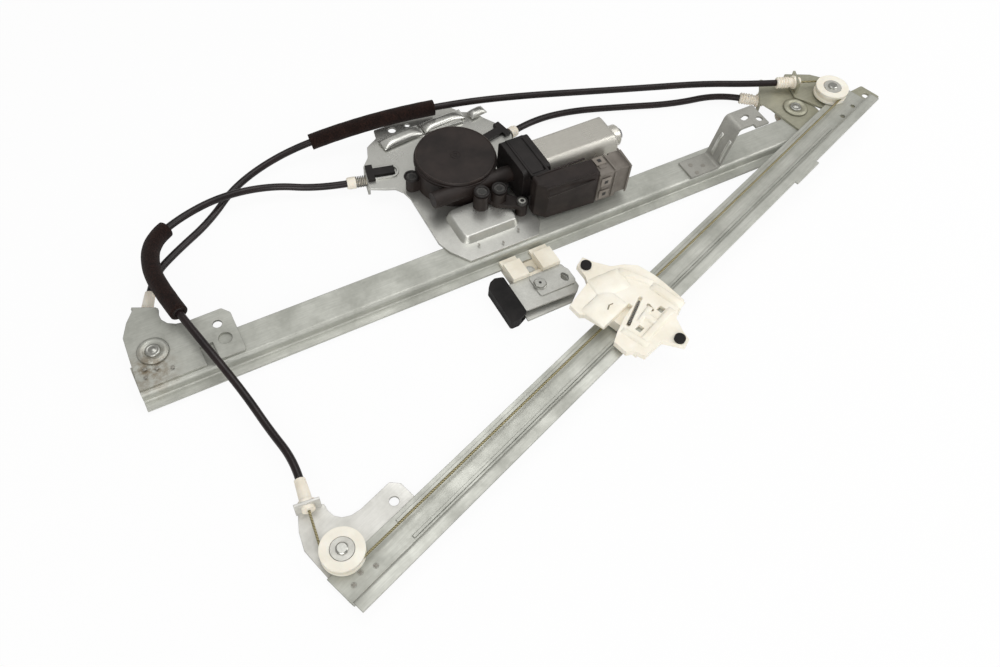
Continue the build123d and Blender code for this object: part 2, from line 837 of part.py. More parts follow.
with BuildPart() as worm_shaft:
    add(turned(shaft_plane, shaft_profile))
    with BuildPart(mode=Mode.PRIVATE) as thread_part:
        with BuildSketch(Plane(origin=thread @ 0, x_dir=(1, 0, 0), z_dir=thread % 0)):
            with Locations((0, 0)):
                Rectangle(thread_w, 2 * (worm_tip_r - worm_core_r + 0.1))
        sweep(path=thread, is_frenet=True)
    add(thread_part.part.moved(Location((thread_shift, 0, 0))))
keep(worm_shaft, "worm_shaft")

# Gear housing: an open pot over the drum, the worm's tube, the screw posts and their webs
def shaft_tube(radius, start, end):
    """Round bar or bore on the worm's axis, between two distances from the drum's axis."""
    with BuildPart() as bar:
        with BuildSketch(Plane(origin=shaft_plane.from_local_coords((start, 0, 0)), z_dir=(1, 0, 0))):
            Circle(radius)
        extrude(amount=end - start)
    return bar.part


def post(centre, radius, low, high):
    """Round screw post above the motor plate."""
    return bore(rear, UP, centre[0], centre[1], radius, low, high)


web_outline = [(285.0, 18.0), (294.0, 6.5), (309.0, -3.5), (315.5, 3.0), (303.0, 17.0), (300.0, 27.5), (288.0, 27.5)]
with BuildPart() as gear_housing:
    add(post((drum_u, drum_v), gearbox_r, 0, gearbox_h))
    add(shaft_tube(tube_r, -tube_end, holder_from))
    for post_spot in post_spots:
        add(post(post_spot, post_r, pad_h, post_high))
    add(slab(rear, UP, web_outline, pad_h + 1.0, low_post_high))
    add(post(low_post_spots[0], low_post_r, 0, low_post_high))
    add(post(low_post_spots[1], low_post_r, 0, lug_high))
    add(block(rear, UP, low_post_spots[1][0], drum_u - gearbox_r + 3.0, 59.0, 69.0, 0, lug_high))
    add(post((drum_u, drum_v), gearbox_r - gearbox_wall, gearbox_floor, gearbox_h), mode=Mode.SUBTRACT)
    add(post((drum_u, drum_v), boss_r + running_gap, 0, gearbox_floor), mode=Mode.SUBTRACT)
    add(shaft_tube(tube_bore_r, -tube_end + 2.0, holder_from), mode=Mode.SUBTRACT)
    for post_spot in post_spots + low_post_spots:
        add(post(post_spot, post_bore_r, 0, post_high), mode=Mode.SUBTRACT)
keep(gear_housing, "gear_housing")

with BuildPart() as gear_cover:
    add(post((drum_u, drum_v), gearbox_r, gearbox_h, gearbox_h + cover_t - cover_lip))
    with BuildSketch(rear.offset(gearbox_h + cover_t - cover_lip)):
        with Locations((drum_u, drum_v)):
            Circle(gearbox_r)
    extrude(amount=cover_lip, taper=40)
keep(gear_cover, "gear_cover")

with BuildPart() as motor_screws:
    for post_spot in post_spots:
        add(post(post_spot, screw_r, pad_h - 4.0, post_high))
        add(post(post_spot, screw_head_r, post_high, post_high + screw_head_t))
    for post_spot in low_post_spots:
        add(post(post_spot, screw_r, -plate_t, low_post_high))
        add(post(post_spot, screw_head_r, low_post_high, low_post_high + screw_head_t))
keep(motor_screws, "motor_screws")

# Motor: brush holder, flattened can, magnets, armature and bearing
holder_u = drum_u + holder_to
can_start = holder_to
core_start = can_start + core_gap
commutator_start = can_start - commutator_l - 3.0
box_mid_u = holder_u + box_ahead
box_plane = Plane(origin=rear.from_local_coords((box_mid_u, box_mid_v, 0)), x_dir=heading(rear, box_turn),
                  z_dir=(0, 0, 1))


def box_block(from_x, to_x, mid_y, width, low, height):
    """Box in the control box's own directions."""
    with BuildPart() as piece:
        with BuildSketch(box_plane.offset(low)):
            with Locations(((from_x + to_x) / 2, mid_y)):
                Rectangle(to_x - from_x, width)
        extrude(amount=height)
    return piece.part


with BuildPart() as brush_holder:
    add(block(rear, UP, drum_u + holder_from, holder_u, holder_low_v, holder_high_v, holder_low, holder_high))
    fillet(brush_holder.edges().filter_by(Axis.X), radius=holder_fillet)
    add(shaft_tube(shaft_r + running_gap, holder_from, holder_to), mode=Mode.SUBTRACT)
    add(shaft_tube(core_r + 2.0, holder_from + 5.0, holder_to), mode=Mode.SUBTRACT)
    add(box_block(-bridge_far, -bridge_near, box_w / 2 + bridge_l / 2, bridge_l, bridge_low, bridge_h))
keep(brush_holder, "brush_holder")


def can_body(start, end, radius, flat, slope=0):
    """Bar on the worm's axis between two stations, round but flattened above and below."""
    across = Plane(origin=shaft_plane.from_local_coords((start, 0, 0)), x_dir=(0, 1, 0), z_dir=(1, 0, 0))
    with BuildPart() as bar:
        with BuildSketch(across):
            Circle(radius)
            Rectangle(2 * radius, 2 * flat, mode=Mode.INTERSECT)
        extrude(amount=end - start, taper=slope)
    return bar.part


with BuildPart() as motor_can:
    add(can_body(can_start, can_start + can_l - can_edge, can_r, can_flat))
    add(can_body(can_start + can_l - can_edge, can_start + can_l, can_r, can_flat, 40))
    add(can_body(can_start, can_start + can_l - can_t, can_r - can_t, can_flat - can_t), mode=Mode.SUBTRACT)
    add(shaft_tube(cap_r, can_start + can_l - can_t, can_start + can_l + cap_l - 1.5))
    with BuildSketch(Plane(origin=shaft_plane.from_local_coords((can_start + can_l + cap_l - 1.5, 0, 0)),
                           z_dir=(1, 0, 0))):
        Circle(cap_r)
    extrude(amount=1.5, taper=45)
    add(shaft_tube(shaft_r + 2.5, can_start + can_l - can_t, can_start + can_l + cap_l - 2.0), mode=Mode.SUBTRACT)
keep(motor_can, "motor_can")

with BuildPart() as rear_bearing:
    add(shaft_tube(shaft_r + 2.5, can_start + can_l, can_start + can_l + cap_l - 3.0))
    add(shaft_tube(shaft_r + running_gap, can_start + can_l, can_start + can_l + cap_l - 3.0), mode=Mode.SUBTRACT)
keep(rear_bearing, "rear_bearing")

with BuildPart() as field_magnets:
    for side_turn in (0.0, 180.0):
        with BuildSketch(Plane(origin=shaft_plane.from_local_coords((core_start - 1.0, 0, 0)), x_dir=(0, 1, 0),
                               z_dir=(1, 0, 0))):
            with BuildLine():
                outer_arc = CenterArc((0, 0), can_flat + 1.4, side_turn - magnet_arc / 2, magnet_arc)
                inner_arc = CenterArc((0, 0), core_r + 0.6, side_turn - magnet_arc / 2, magnet_arc)
                Line(outer_arc @ 0, inner_arc @ 0)
                Line(outer_arc @ 1, inner_arc @ 1)
            make_face()
        extrude(amount=core_l + 2.0)
with BuildPart() as seated_magnets:
    add(field_magnets.part)
    add(can_body(can_start, can_start + can_l - can_t, can_r - can_t, can_flat - can_t), mode=Mode.INTERSECT)
keep(seated_magnets, "field_magnets")

slot_count = 10
with BuildPart() as armature_core:
    with BuildSketch(Plane(origin=shaft_plane.from_local_coords((core_start, 0, 0)), x_dir=(0, 1, 0), z_dir=(1, 0, 0))):
        Circle(core_r)
        with PolarLocations(core_r - 1.5, slot_count):
            Rectangle(5.0, 1.8, mode=Mode.SUBTRACT)
        Circle(shaft_r, mode=Mode.SUBTRACT)
    extrude(amount=core_l)
keep(armature_core, "armature_core")

with BuildPart() as commutator:
    with BuildSketch(Plane(origin=shaft_plane.from_local_coords((commutator_start, 0, 0)), x_dir=(0, 1, 0),
                           z_dir=(1, 0, 0))):
        Circle(commutator_r)
        with PolarLocations(commutator_r - 0.4, slot_count):
            Rectangle(1.6, 0.5, mode=Mode.SUBTRACT)
        Circle(shaft_r, mode=Mode.SUBTRACT)
    extrude(amount=commutator_l)
keep(commutator, "commutator")

with BuildPart() as carbon_brushes:
    for brush_side in (-1, 1):
        brush_from = brush_side * (commutator_r + brush_gap)
        brush_to = brush_side * (core_r + 1.2)
        brush_mid = commutator_start + commutator_l / 2
        near_v, far_v = sorted((brush_from + worm_v, brush_to + worm_v))
        add(block(rear, UP, drum_u + brush_mid - brush_w, drum_u + brush_mid + brush_w, near_v, far_v,
                  axis_z - brush_w / 2, axis_z + brush_w / 2))
keep(carbon_brushes, "carbon_brushes")

# Control box and connector, turned a few degrees beside the motor
box_start = -box_l / 2
with BuildPart() as control_box:
    with BuildSketch(box_plane.offset(box_low)):
        with BuildLine():
            Polyline(
                (box_start + box_chamfer, -box_w / 2),
                (box_l / 2, -box_w / 2),
                (box_l / 2, box_w / 2),
                (box_start, box_w / 2),
                (box_start, -box_w / 2 + box_chamfer),
                close=True,
            )
        make_face()
    extrude(amount=box_h)
    fillet(control_box.edges().filter_by(Axis.Z), radius=1.2)
    chamfer(control_box.faces().sort_by(Axis.Z)[-1].edges(), length=1.0)
    with BuildSketch(Plane(origin=box_plane.from_local_coords((box_l / 2, 0, box_low + box_h / 2)),
                           x_dir=box_plane.y_dir, z_dir=box_plane.x_dir)):
        Rectangle(box_w - 2 * box_wall, box_h - 2 * box_wall)
    extrude(amount=-box_l + box_chamfer + 2 * box_wall, mode=Mode.SUBTRACT)
keep(control_box, "control_box")

board_t = 1.6
with BuildPart() as control_board:
    with BuildSketch(box_plane.offset(box_low + box_wall)):
        with Locations((box_chamfer / 2, 0)):
            Rectangle(box_l - 3 * box_chamfer, board_t)
    extrude(amount=box_h - 2 * box_wall)
keep(control_board, "control_board")


plug_start = box_l / 2
plug_mid = plug_start + plug_back_l
with BuildPart() as connector_shroud:
    add(box_block(plug_start, plug_mid, 0, plug_back_w, plug_back_low, plug_back_h))
    add(box_block(plug_mid, plug_mid + plug_l, plug_shift, plug_w, plug_low, plug_h))
    add(box_block(plug_mid, plug_mid + plug_l, plug_shift, plug_w - 2 * plug_wall, plug_low + plug_wall,
                  plug_h - 2 * plug_wall), mode=Mode.SUBTRACT)
    add(box_block(plug_start, plug_mid - plug_wall, 0, plug_back_w - 2 * plug_wall, plug_back_low + plug_wall,
                  plug_back_h - 2 * plug_wall), mode=Mode.SUBTRACT)
    for latch_z in (plug_back_low + 4.0, plug_back_low + 13.0):
        add(box_block(plug_start + 3.0, plug_start + 3.0 + latch_w, -(plug_back_w + latch_t) / 2, latch_t, latch_z,
                      latch_w))
    add(box_block(plug_start + 3.0, plug_start + 3.0 + latch_w, 0, latch_w, plug_back_low + plug_back_h, latch_t))
keep(connector_shroud, "connector_shroud")

with BuildPart() as connector_pins:
    for row in range(pin_rows):
        for column in (-1, 1):
            add(box_block(plug_mid - plug_wall, plug_mid + pin_l, plug_shift + column * pin_pitch, pin_w,
                          plug_low + plug_h / 2 - pin_w / 2 + (row - (pin_rows - 1) / 2) * pin_pitch, pin_w))
with BuildPart() as seated_pins:
    add(connector_pins.part)
    add(box_block(plug_mid, plug_mid + pin_l, plug_shift, plug_w, plug_low, plug_h), mode=Mode.INTERSECT)
keep(seated_pins, "connector_pins")

# Offset bracket on the rear rail's back
bracket_end = bracket_foot_u + bracket_foot_l
bracket_high = bracket_end + bracket_leg_l
bracket_stop = bracket_high + bracket_top_l
lower_face = -plate_t
with BuildPart() as offset_bracket:
    with BuildSketch(Plane(origin=rear.from_local_coords((0, -bracket_near, 0)), x_dir=(1, 0, 0), z_dir=(0, 1, 0))):
        with BuildLine():
            FilletPolyline(
                (bracket_foot_u, -lower_face - plate_t / 2),
                (bracket_end, -lower_face - plate_t / 2),
                (bracket_high, -(lower_face + bracket_rise - plate_t / 2)),
                (bracket_stop, -(lower_face + bracket_rise - plate_t / 2)),
                radius=4.0,
            )
        trace(line_width=plate_t)
    extrude(amount=bracket_w)
    add(block(rear, UP, bracket_stop - bracket_lobe_l, bracket_stop, -bracket_near - bracket_lobe_w, -bracket_near,
              lower_face + bracket_rise - plate_t, lower_face + bracket_rise))
    with BuildSketch(rear.offset(lower_face + bracket_rise - plate_t)):
        with Locations(Location((bracket_high + 12.5, -bracket_near + bracket_w / 2), 15.0)):
            SlotOverall(9.0, 5.0)
        with Locations((bracket_stop - 5.0, -bracket_near + 3.5)):
            Circle(bracket_hole_r)
    extrude(amount=plate_t, mode=Mode.SUBTRACT)
keep(offset_bracket, "offset_bracket")

# Rear carrier: nylon shoe on the rail's flange, with the glass clamp it carries
cable_v = -wrap_r
block_from = 273.0
block_mid = 288.0
block_next = 301.0
block_end = 317.0
cover_high = 6.0
clamp_high = cover_high + jaw_cover_t
clamp_low = clamp_high + jaw_plate_t
seat_high = clamp_low + jaw_gap
seat_low = seat_high + jaw_plate_t
tongue_v = -58.0
shoe_high = flange_high + slide_gap
inner_from = block_mid - 3.0
inner_to = block_next + 4.0
inner_v_low = -28.0
inner_v_high = -9.0
seat_lug_w = 6.0
seat_grip_w = 4.0
with BuildPart() as rear_slider:
    add(block(rear, REAR, block_from, block_end, tongue_v, -8.0, shoe_high, block_low))
    add(block(rear, REAR, block_from, block_mid, tongue_v, flange_v - slide_gap, block_top, block_low))
    add(block(rear, REAR, block_next, block_end, tongue_v, flange_v - slide_gap, block_top, block_low))
    lip_high = flange_low - slide_gap - lip_t
    for lip_from, lip_to in ((block_from, block_mid), (block_next, block_end)):
        add(block(rear, REAR, lip_from, lip_to, flange_v - slide_gap, flange_v + lip_w, lip_high,
                  flange_low - slide_gap))
    add(block(rear, REAR, inner_from, inner_to, inner_v_low, inner_v_high, inner_top, block_low))
    add(block(rear, REAR, inner_from, block_end, tongue_v - seat_lug_w, tongue_v, clamp_low, seat_high))
    add(block(rear, REAR, inner_from, block_end, tongue_v, tongue_v + seat_grip_w, clamp_low, seat_high))
    with BuildSketch(cross_plane(rear, REAR, inner_from, cable_v, cable_h)):
        Circle(cable_port_r)
    extrude(amount=inner_l, mode=Mode.SUBTRACT)
keep(rear_slider, "rear_slider")

screw_at = (291.0, -69.5)
clamp_outline = [(267.7, tongue_v), (318.0, tongue_v), (320.0, -67.0), (319.5, -84.0), (315.0, -88.5), (267.7, -86.5)]
jaw_outline = [(286.0, -59.5), (317.0, -60.5), (320.0, -66.0), (320.0, -77.5), (317.5, -80.5), (286.0, -80.0)]
jaw_hole = (313.3, -71.5)
with BuildPart() as clamp_plate:
    add(slab(rear, REAR, clamp_outline, clamp_high, clamp_low, press_fillet))
    add(slab(rear, REAR, jaw_outline, cover_high, clamp_high, press_fillet))
    add(bore(rear, REAR, *screw_at, clamp_thread_r + 0.2, cover_high, clamp_low), mode=Mode.SUBTRACT)
    with BuildSketch(rear.offset(-cover_high)):
        with Locations(jaw_hole):
            SlotOverall(9.0, 4.5, rotation=90)
            Circle(3.2)
    extrude(amount=-jaw_plate_t - jaw_cover_t, mode=Mode.SUBTRACT)
keep(clamp_plate, "clamp_plate")

seat_outline = [(267.7, tongue_v), (319.0, tongue_v), (319.0, -84.0), (309.0, -92.0), (267.7, -92.0)]
with BuildPart() as clamp_seat:
    add(slab(rear, REAR, seat_outline, seat_high, seat_low))
    add(bore(rear, REAR, *screw_at, clamp_thread_r, seat_high, seat_low), mode=Mode.SUBTRACT)
keep(clamp_seat, "clamp_seat")

with BuildPart() as clamp_screw:
    add(bore(rear, REAR, *screw_at, clamp_thread_r, cover_high, block_low))
    add(bore(rear, REAR, *screw_at, clamp_head_r, cover_high - clamp_head_t, cover_high))
keep(clamp_screw, "clamp_screw")

rubber_outline = [
    (251.5, -55.0), (255.5, -50.5), (260.5, -48.5), (267.7, -50.5), (267.7, -88.5), (259.0, -92.5), (251.5, -92.5),
]
with BuildPart() as glass_rubber:
    add(slab(rear, REAR, rubber_outline, rubber_top, block_low, press_fillet))
    add(block(rear, REAR, 262.0, 267.7, -95.0, -46.0, clamp_low, seat_high), mode=Mode.SUBTRACT)
keep(glass_rubber, "glass_rubber")

# Front carrier: one cream moulding that hooks round the flange, with buttons and the cable's end
front_outline = [
    (284.0, 35.5), (293.5, 37.5), (296.0, 28.5), (302.5, 15.5), (311.5, 9.0), (318.5, 0.5), (320.3, -15.0),
    (319.5, -26.0), (317.0, -46.5), (309.5, -46.8), (298.5, -52.5), (292.0, -64.0), (289.5, -71.0), (283.0, -72.5),
    (278.5, -64.0), (274.5, -57.0), (254.0, -56.0), (252.2, -47.2), (246.9, -43.6), (247.9, -30.8), (256.0, -27.3),
    (272.0, -22.4), (284.0, -20.8), (284.0, -17.0), (271.7, -17.2), (254.0, -16.9), (251.9, 0.5), (248.8, 3.6), (250.4, 14.8), (276.5, 18.5), (280.5, 24.0),
]
grip_edge = flange_v - stop_w - slide_gap
grip_w = 5.0
front_grips = ((256.0, 276.0), (292.0, 312.0))
front_inner_from = 266.0
front_inner_l = 36.0
window_half_l = 2.8
window_half_w = 2.4
window_deep = 1.5
link_turn = 18.0
link_slot_l = 31.0
link_slot_w = 3.0
mark_slot_l = 8.0
mark_slot_w = 3.2
mark_slot_turn = 70.0
slot_deep = 3.0
with BuildPart() as front_slider:
    add(slab(front, FRONT, front_outline, front_skin_low, front_skin_low + front_skin_t))
    for grip_from, grip_to in front_grips:
        lip_low = flange_low - slide_gap - lip_t
        add(block(front, FRONT, grip_from, grip_to, grip_edge - grip_w, grip_edge, lip_low, front_skin_low))
        add(block(front, FRONT, grip_from, grip_to, grip_edge, flange_v + lip_w, lip_low, flange_low - slide_gap))
        add(block(front, FRONT, grip_from, grip_to, grip_edge, wall_v, flange_high + slide_gap, front_skin_low))
    add(block(front, FRONT, front_inner_from, front_inner_from + front_inner_l, inner_v_low, inner_v_high,
              inner_top, front_skin_low))
    with BuildSketch(cross_plane(front, FRONT, front_inner_from, cable_v, cable_h)):
        Circle(cable_port_r)
    extrude(amount=front_inner_l, mode=Mode.SUBTRACT)
    for hole_u, hole_v in ((271.0, -37.5), (297.0, -38.5)):
        add(block(front, FRONT, hole_u - window_half_l, hole_u + window_half_l, hole_v - window_half_w,
                  hole_v + window_half_w, front_skin_low + window_deep, front_skin_low + front_skin_t),
            mode=Mode.SUBTRACT)
    with BuildSketch(front.offset(front_skin_low + front_skin_t)):
        with Locations(Location((281.0, -24.8), link_turn)):
            SlotOverall(link_slot_l, link_slot_w)
        for slot_u, slot_v in ((292.5, -31.5), (309.0, -26.6)):
            with Locations(Location((slot_u, slot_v), mark_slot_turn)):
                SlotOverall(mark_slot_l, mark_slot_w)
    extrude(amount=-slot_deep, mode=Mode.SUBTRACT)
keep(front_slider, "front_slider")

with BuildPart() as front_buttons:
    for button_u, button_v in ((288.5, 30.0), (284.5, -65.5)):
        add(bore(front, FRONT, button_u, button_v, button_r, front_skin_low + front_skin_t,
                 front_skin_low + front_skin_t + button_h))
keep(front_buttons, "front_buttons")

link_l = 24.0
with BuildPart() as front_link:
    link_plane = Plane(origin=spot(front, FRONT, 269.3, -28.6, front_skin_low + front_skin_t - 1.6),
                       x_dir=heading(front, link_turn), z_dir=front.z_dir)
    add(turned(link_plane, [(0, 0), (0, 1.3), (3.4, 1.3), (3.4, 0.8), (link_l, 0.8), (link_l, 0)]))
keep(front_link, "front_link")


# Conduits between the cable ends, resting near the floor and humped where they cross the rail
def bend_radii(route):
    """Arc radius at each inner point of a route, from its shorter run and half its turn."""
    radii = []
    for before, here, after in zip(route, route[1:], route[2:]):
        arrive = Vector(*here) - Vector(*before)
        leave = Vector(*after) - Vector(*here)
        half_turn = radians(arrive.get_angle(leave)) / 2
        radii.append(0.45 * min(arrive.length, leave.length) / tan(half_turn))
    return radii


def route_length(route, radii):
    """Length along a route, its corners rounded to the radii."""
    total = sum((Vector(*b) - Vector(*a)).length for a, b in zip(route, route[1:]))
    for radius, before, here, after in zip(radii, route, route[1:], route[2:]):
        turn = radians((Vector(*here) - Vector(*before)).get_angle(Vector(*after) - Vector(*here)))
        total += radius * (turn - 2 * tan(turn / 2))
    return total


def tube_on(route, radii, outer, inner):
    """Tube swept along a route of points in the part's own frame."""
    start = Vector(*route[0])
    with BuildPart() as tube:
        with BuildLine() as path:
            FilletPolyline(*route, radius=radii)
        with BuildSketch(Plane(origin=start, z_dir=Vector(*route[1]) - start)):
            Circle(outer)
            Circle(inner, mode=Mode.SUBTRACT)
        sweep(path=path.wire())
    return tube


def between(a, b, share):
    """Point part of the way from one point to another."""
    return tuple(p + share * (q - p) for p, q in zip(a, b))


def as_point(vector):
    """Plain coordinates of a vector."""
    return (vector.X, vector.Y, vector.Z)


def rear_points(points):
    """Points of the rear rail's frame, moved into the part's own frame."""
    return [as_point(rear.from_local_coords(point)) for point in points]


def end_pair(frame, side, angle, reach, run, level, centre_u=0.0, centre_v=0.0, radius=wrap_r, turn=1):
    """Where a conduit leaves a nipple, and the next point along the nipple's axis."""
    exit_at = ear_point(angle, reach, centre_u, centre_v, radius, turn)
    next_at = ear_point(angle, reach + run, centre_u, centre_v, radius, turn)
    return [as_point(spot(frame, side, *exit_at, level)), as_point(spot(frame, side, *next_at, level))]


left_end = end_pair(rear, REAR, left_heading, arm_reach + left_spring_l + collar_l, 25.0, left_level, drum_u, drum_v,
                    drum_wrap_r, -1)
right_end = end_pair(rear, REAR, right_heading, arm_reach + right_spring_l + collar_l, 22.0, right_level, drum_u,
                     drum_v, drum_wrap_r)
rear_low_end = end_pair(rear, REAR, lower_heading, lower_ear + lower_exit, 18.0, cable_h)
front_low_end = end_pair(front, FRONT, lower_heading, lower_ear + lower_exit, 16.0, cable_h)
rear_top_end = end_pair(rear, REAR, rear_upper_heading, upper_ear + upper_exit, 22.0, cable_h, rear_span, turn=-1)
front_top_end = end_pair(front, FRONT, front_upper_heading, upper_ear + upper_exit, 26.0, cable_h, front_span,
                         turn=-1)

left_middle = rear_points([
    (138.0, 121.0, -4.0), (97.0, 124.0, 0.0), (60.0, 116.0, 0.5), (30.0, 98.0, 4.0), (20.5, 66.0, 9.0),
    (24.0, 34.0, 10.5), (31.0, -2.0, 10.5), (40.0, -38.0, 5.0), (47.0, -66.0, -3.0), (51.5, -95.0, -6.5),
])
long_middle = rear_points([
    (548.0, 59.5, 7.0), (492.0, 80.0, 6.0), (436.0, 98.5, 7.0), (380.0, 115.5, 9.5), (326.0, 130.0, 10.5),
    (270.0, 139.5, 10.5), (214.0, 147.0, 6.0), (160.0, 152.0, -3.0), (112.0, 140.0, -10.0),
    (80.0, 112.0, -11.5), (46.0, 93.0, -11.0),
])
right_middle = rear_points([
    (424.0, 97.0, -10.5), (470.0, 82.0, -11.0), (520.0, 63.0, -10.5),
])
left_route = left_end + left_middle + front_low_end[::-1]
long_route = front_top_end + long_middle + rear_low_end[::-1]
right_route = right_end + right_middle + rear_top_end[::-1]

conduit_bore_r = cable_r + groove_gap
routes = {"left_conduit": left_route, "long_conduit": long_route, "right_conduit": right_route}
for name, route in routes.items():
    radii = bend_radii(route)
    tube = tube_on(route, radii, conduit_r, conduit_bore_r)
    keep(tube, name)
    length = route_length(route, radii)
    section = pi * (conduit_r**2 - conduit_bore_r**2)
    runs = [(Vector(*b) - Vector(*a)).length for a, b in zip(route, route[1:])]
    print(name, f"length {length:.1f}", f"volume share {tube.part.volume / (section * length):.4f}",
          f"low {tube.part.bounding_box().min.Z:.2f}")
    print("  runs", [round(run, 1) for run in runs], "radii", [round(radius) for radius in radii])
    print("  points", [tuple(round(value, 3) for value in point) for point in route])


def sleeve_on(route, first, last):
    """Foam tube round a conduit, from the middle of one run to the middle of a later one."""
    radii = bend_radii(route)
    part_route = [between(route[first], route[first + 1], 0.5)] + route[first + 1:last + 1]
    part_route.append(between(route[last], route[last + 1], 0.5))
    return tube_on(part_route, radii[first:last], foam_r, conduit_r + foam_gap)


keep(sleeve_on(left_route, 4, 7), "left_foam_sleeve")
keep(sleeve_on(long_route, 6, 8), "long_foam_sleeve")
print("worm mesh", round(worm_v, 3), round(wheel_r, 3), round(worm_pitch, 4), round(thread_shift, 4))
print("tilt", round(tilt, 4), "floor", floor_z)
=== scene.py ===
"""Looks of a dual-rail car window regulator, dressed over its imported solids."""

import logging
import math
from dataclasses import dataclass, field, replace
from enum import Enum

import bmesh
import bpy
import numpy as np
from mathutils import Matrix, Vector


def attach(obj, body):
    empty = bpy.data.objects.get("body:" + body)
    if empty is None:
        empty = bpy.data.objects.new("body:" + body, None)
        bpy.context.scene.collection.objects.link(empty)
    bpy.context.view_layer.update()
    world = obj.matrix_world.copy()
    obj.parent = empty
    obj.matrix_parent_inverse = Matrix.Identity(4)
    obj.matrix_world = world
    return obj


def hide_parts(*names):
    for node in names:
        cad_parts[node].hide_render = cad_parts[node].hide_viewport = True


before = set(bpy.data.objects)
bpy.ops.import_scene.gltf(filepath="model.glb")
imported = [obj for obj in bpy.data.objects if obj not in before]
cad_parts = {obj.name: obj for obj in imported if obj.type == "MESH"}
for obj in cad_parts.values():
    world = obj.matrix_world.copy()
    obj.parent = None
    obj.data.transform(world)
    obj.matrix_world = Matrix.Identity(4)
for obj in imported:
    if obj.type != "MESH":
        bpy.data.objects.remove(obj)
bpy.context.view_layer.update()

FRAME_BODY = "frame"
MILLIMETRE = 0.001

log = logging.getLogger("window_regulator")

Socket = bpy.types.NodeSocket
Value = Socket | float
Point = tuple[float, float, float]
Pair = tuple[float, float]
Colour = tuple[float, float, float]
Faces = list[tuple[int, ...]]
WHOLE = (1.0, 1.0, 1.0)
WHITE = (1.0, 1.0, 1.0, 1.0)
ACROSS = 90.0


class Face(Enum):
    """Which way a rail lies on the floor."""

    DOWN = -1
    UP = 1


class Grain(Enum):
    """Direction that a metal's rolling marks run in, as a turn about the vertical."""

    REAR_RAIL = 0.0
    FRONT_RAIL = 18.62
    NONE = -1.0


def tone(red: float, green: float, blue: float) -> Colour:
    """Turn a colour as seen, 0 to 255, into the shader's linear values.

    Args:
        red: red as seen.
        green: green as seen.
        blue: blue as seen.

    Returns:
        The linear colour.
    """
    return tuple((value / 255.0) ** 2.2 for value in (red, green, blue))


@dataclass(frozen=True)
class Pattern:
    """One noise: its cells per metre, its octaves and how much each octave adds."""

    scale: float
    detail: float = 3.0
    rough: float = 0.5


@dataclass(frozen=True)
class Band:
    """How values from start to end are mapped onto low to high."""

    low: float
    high: float
    start: float = 0.35
    end: float = 0.65


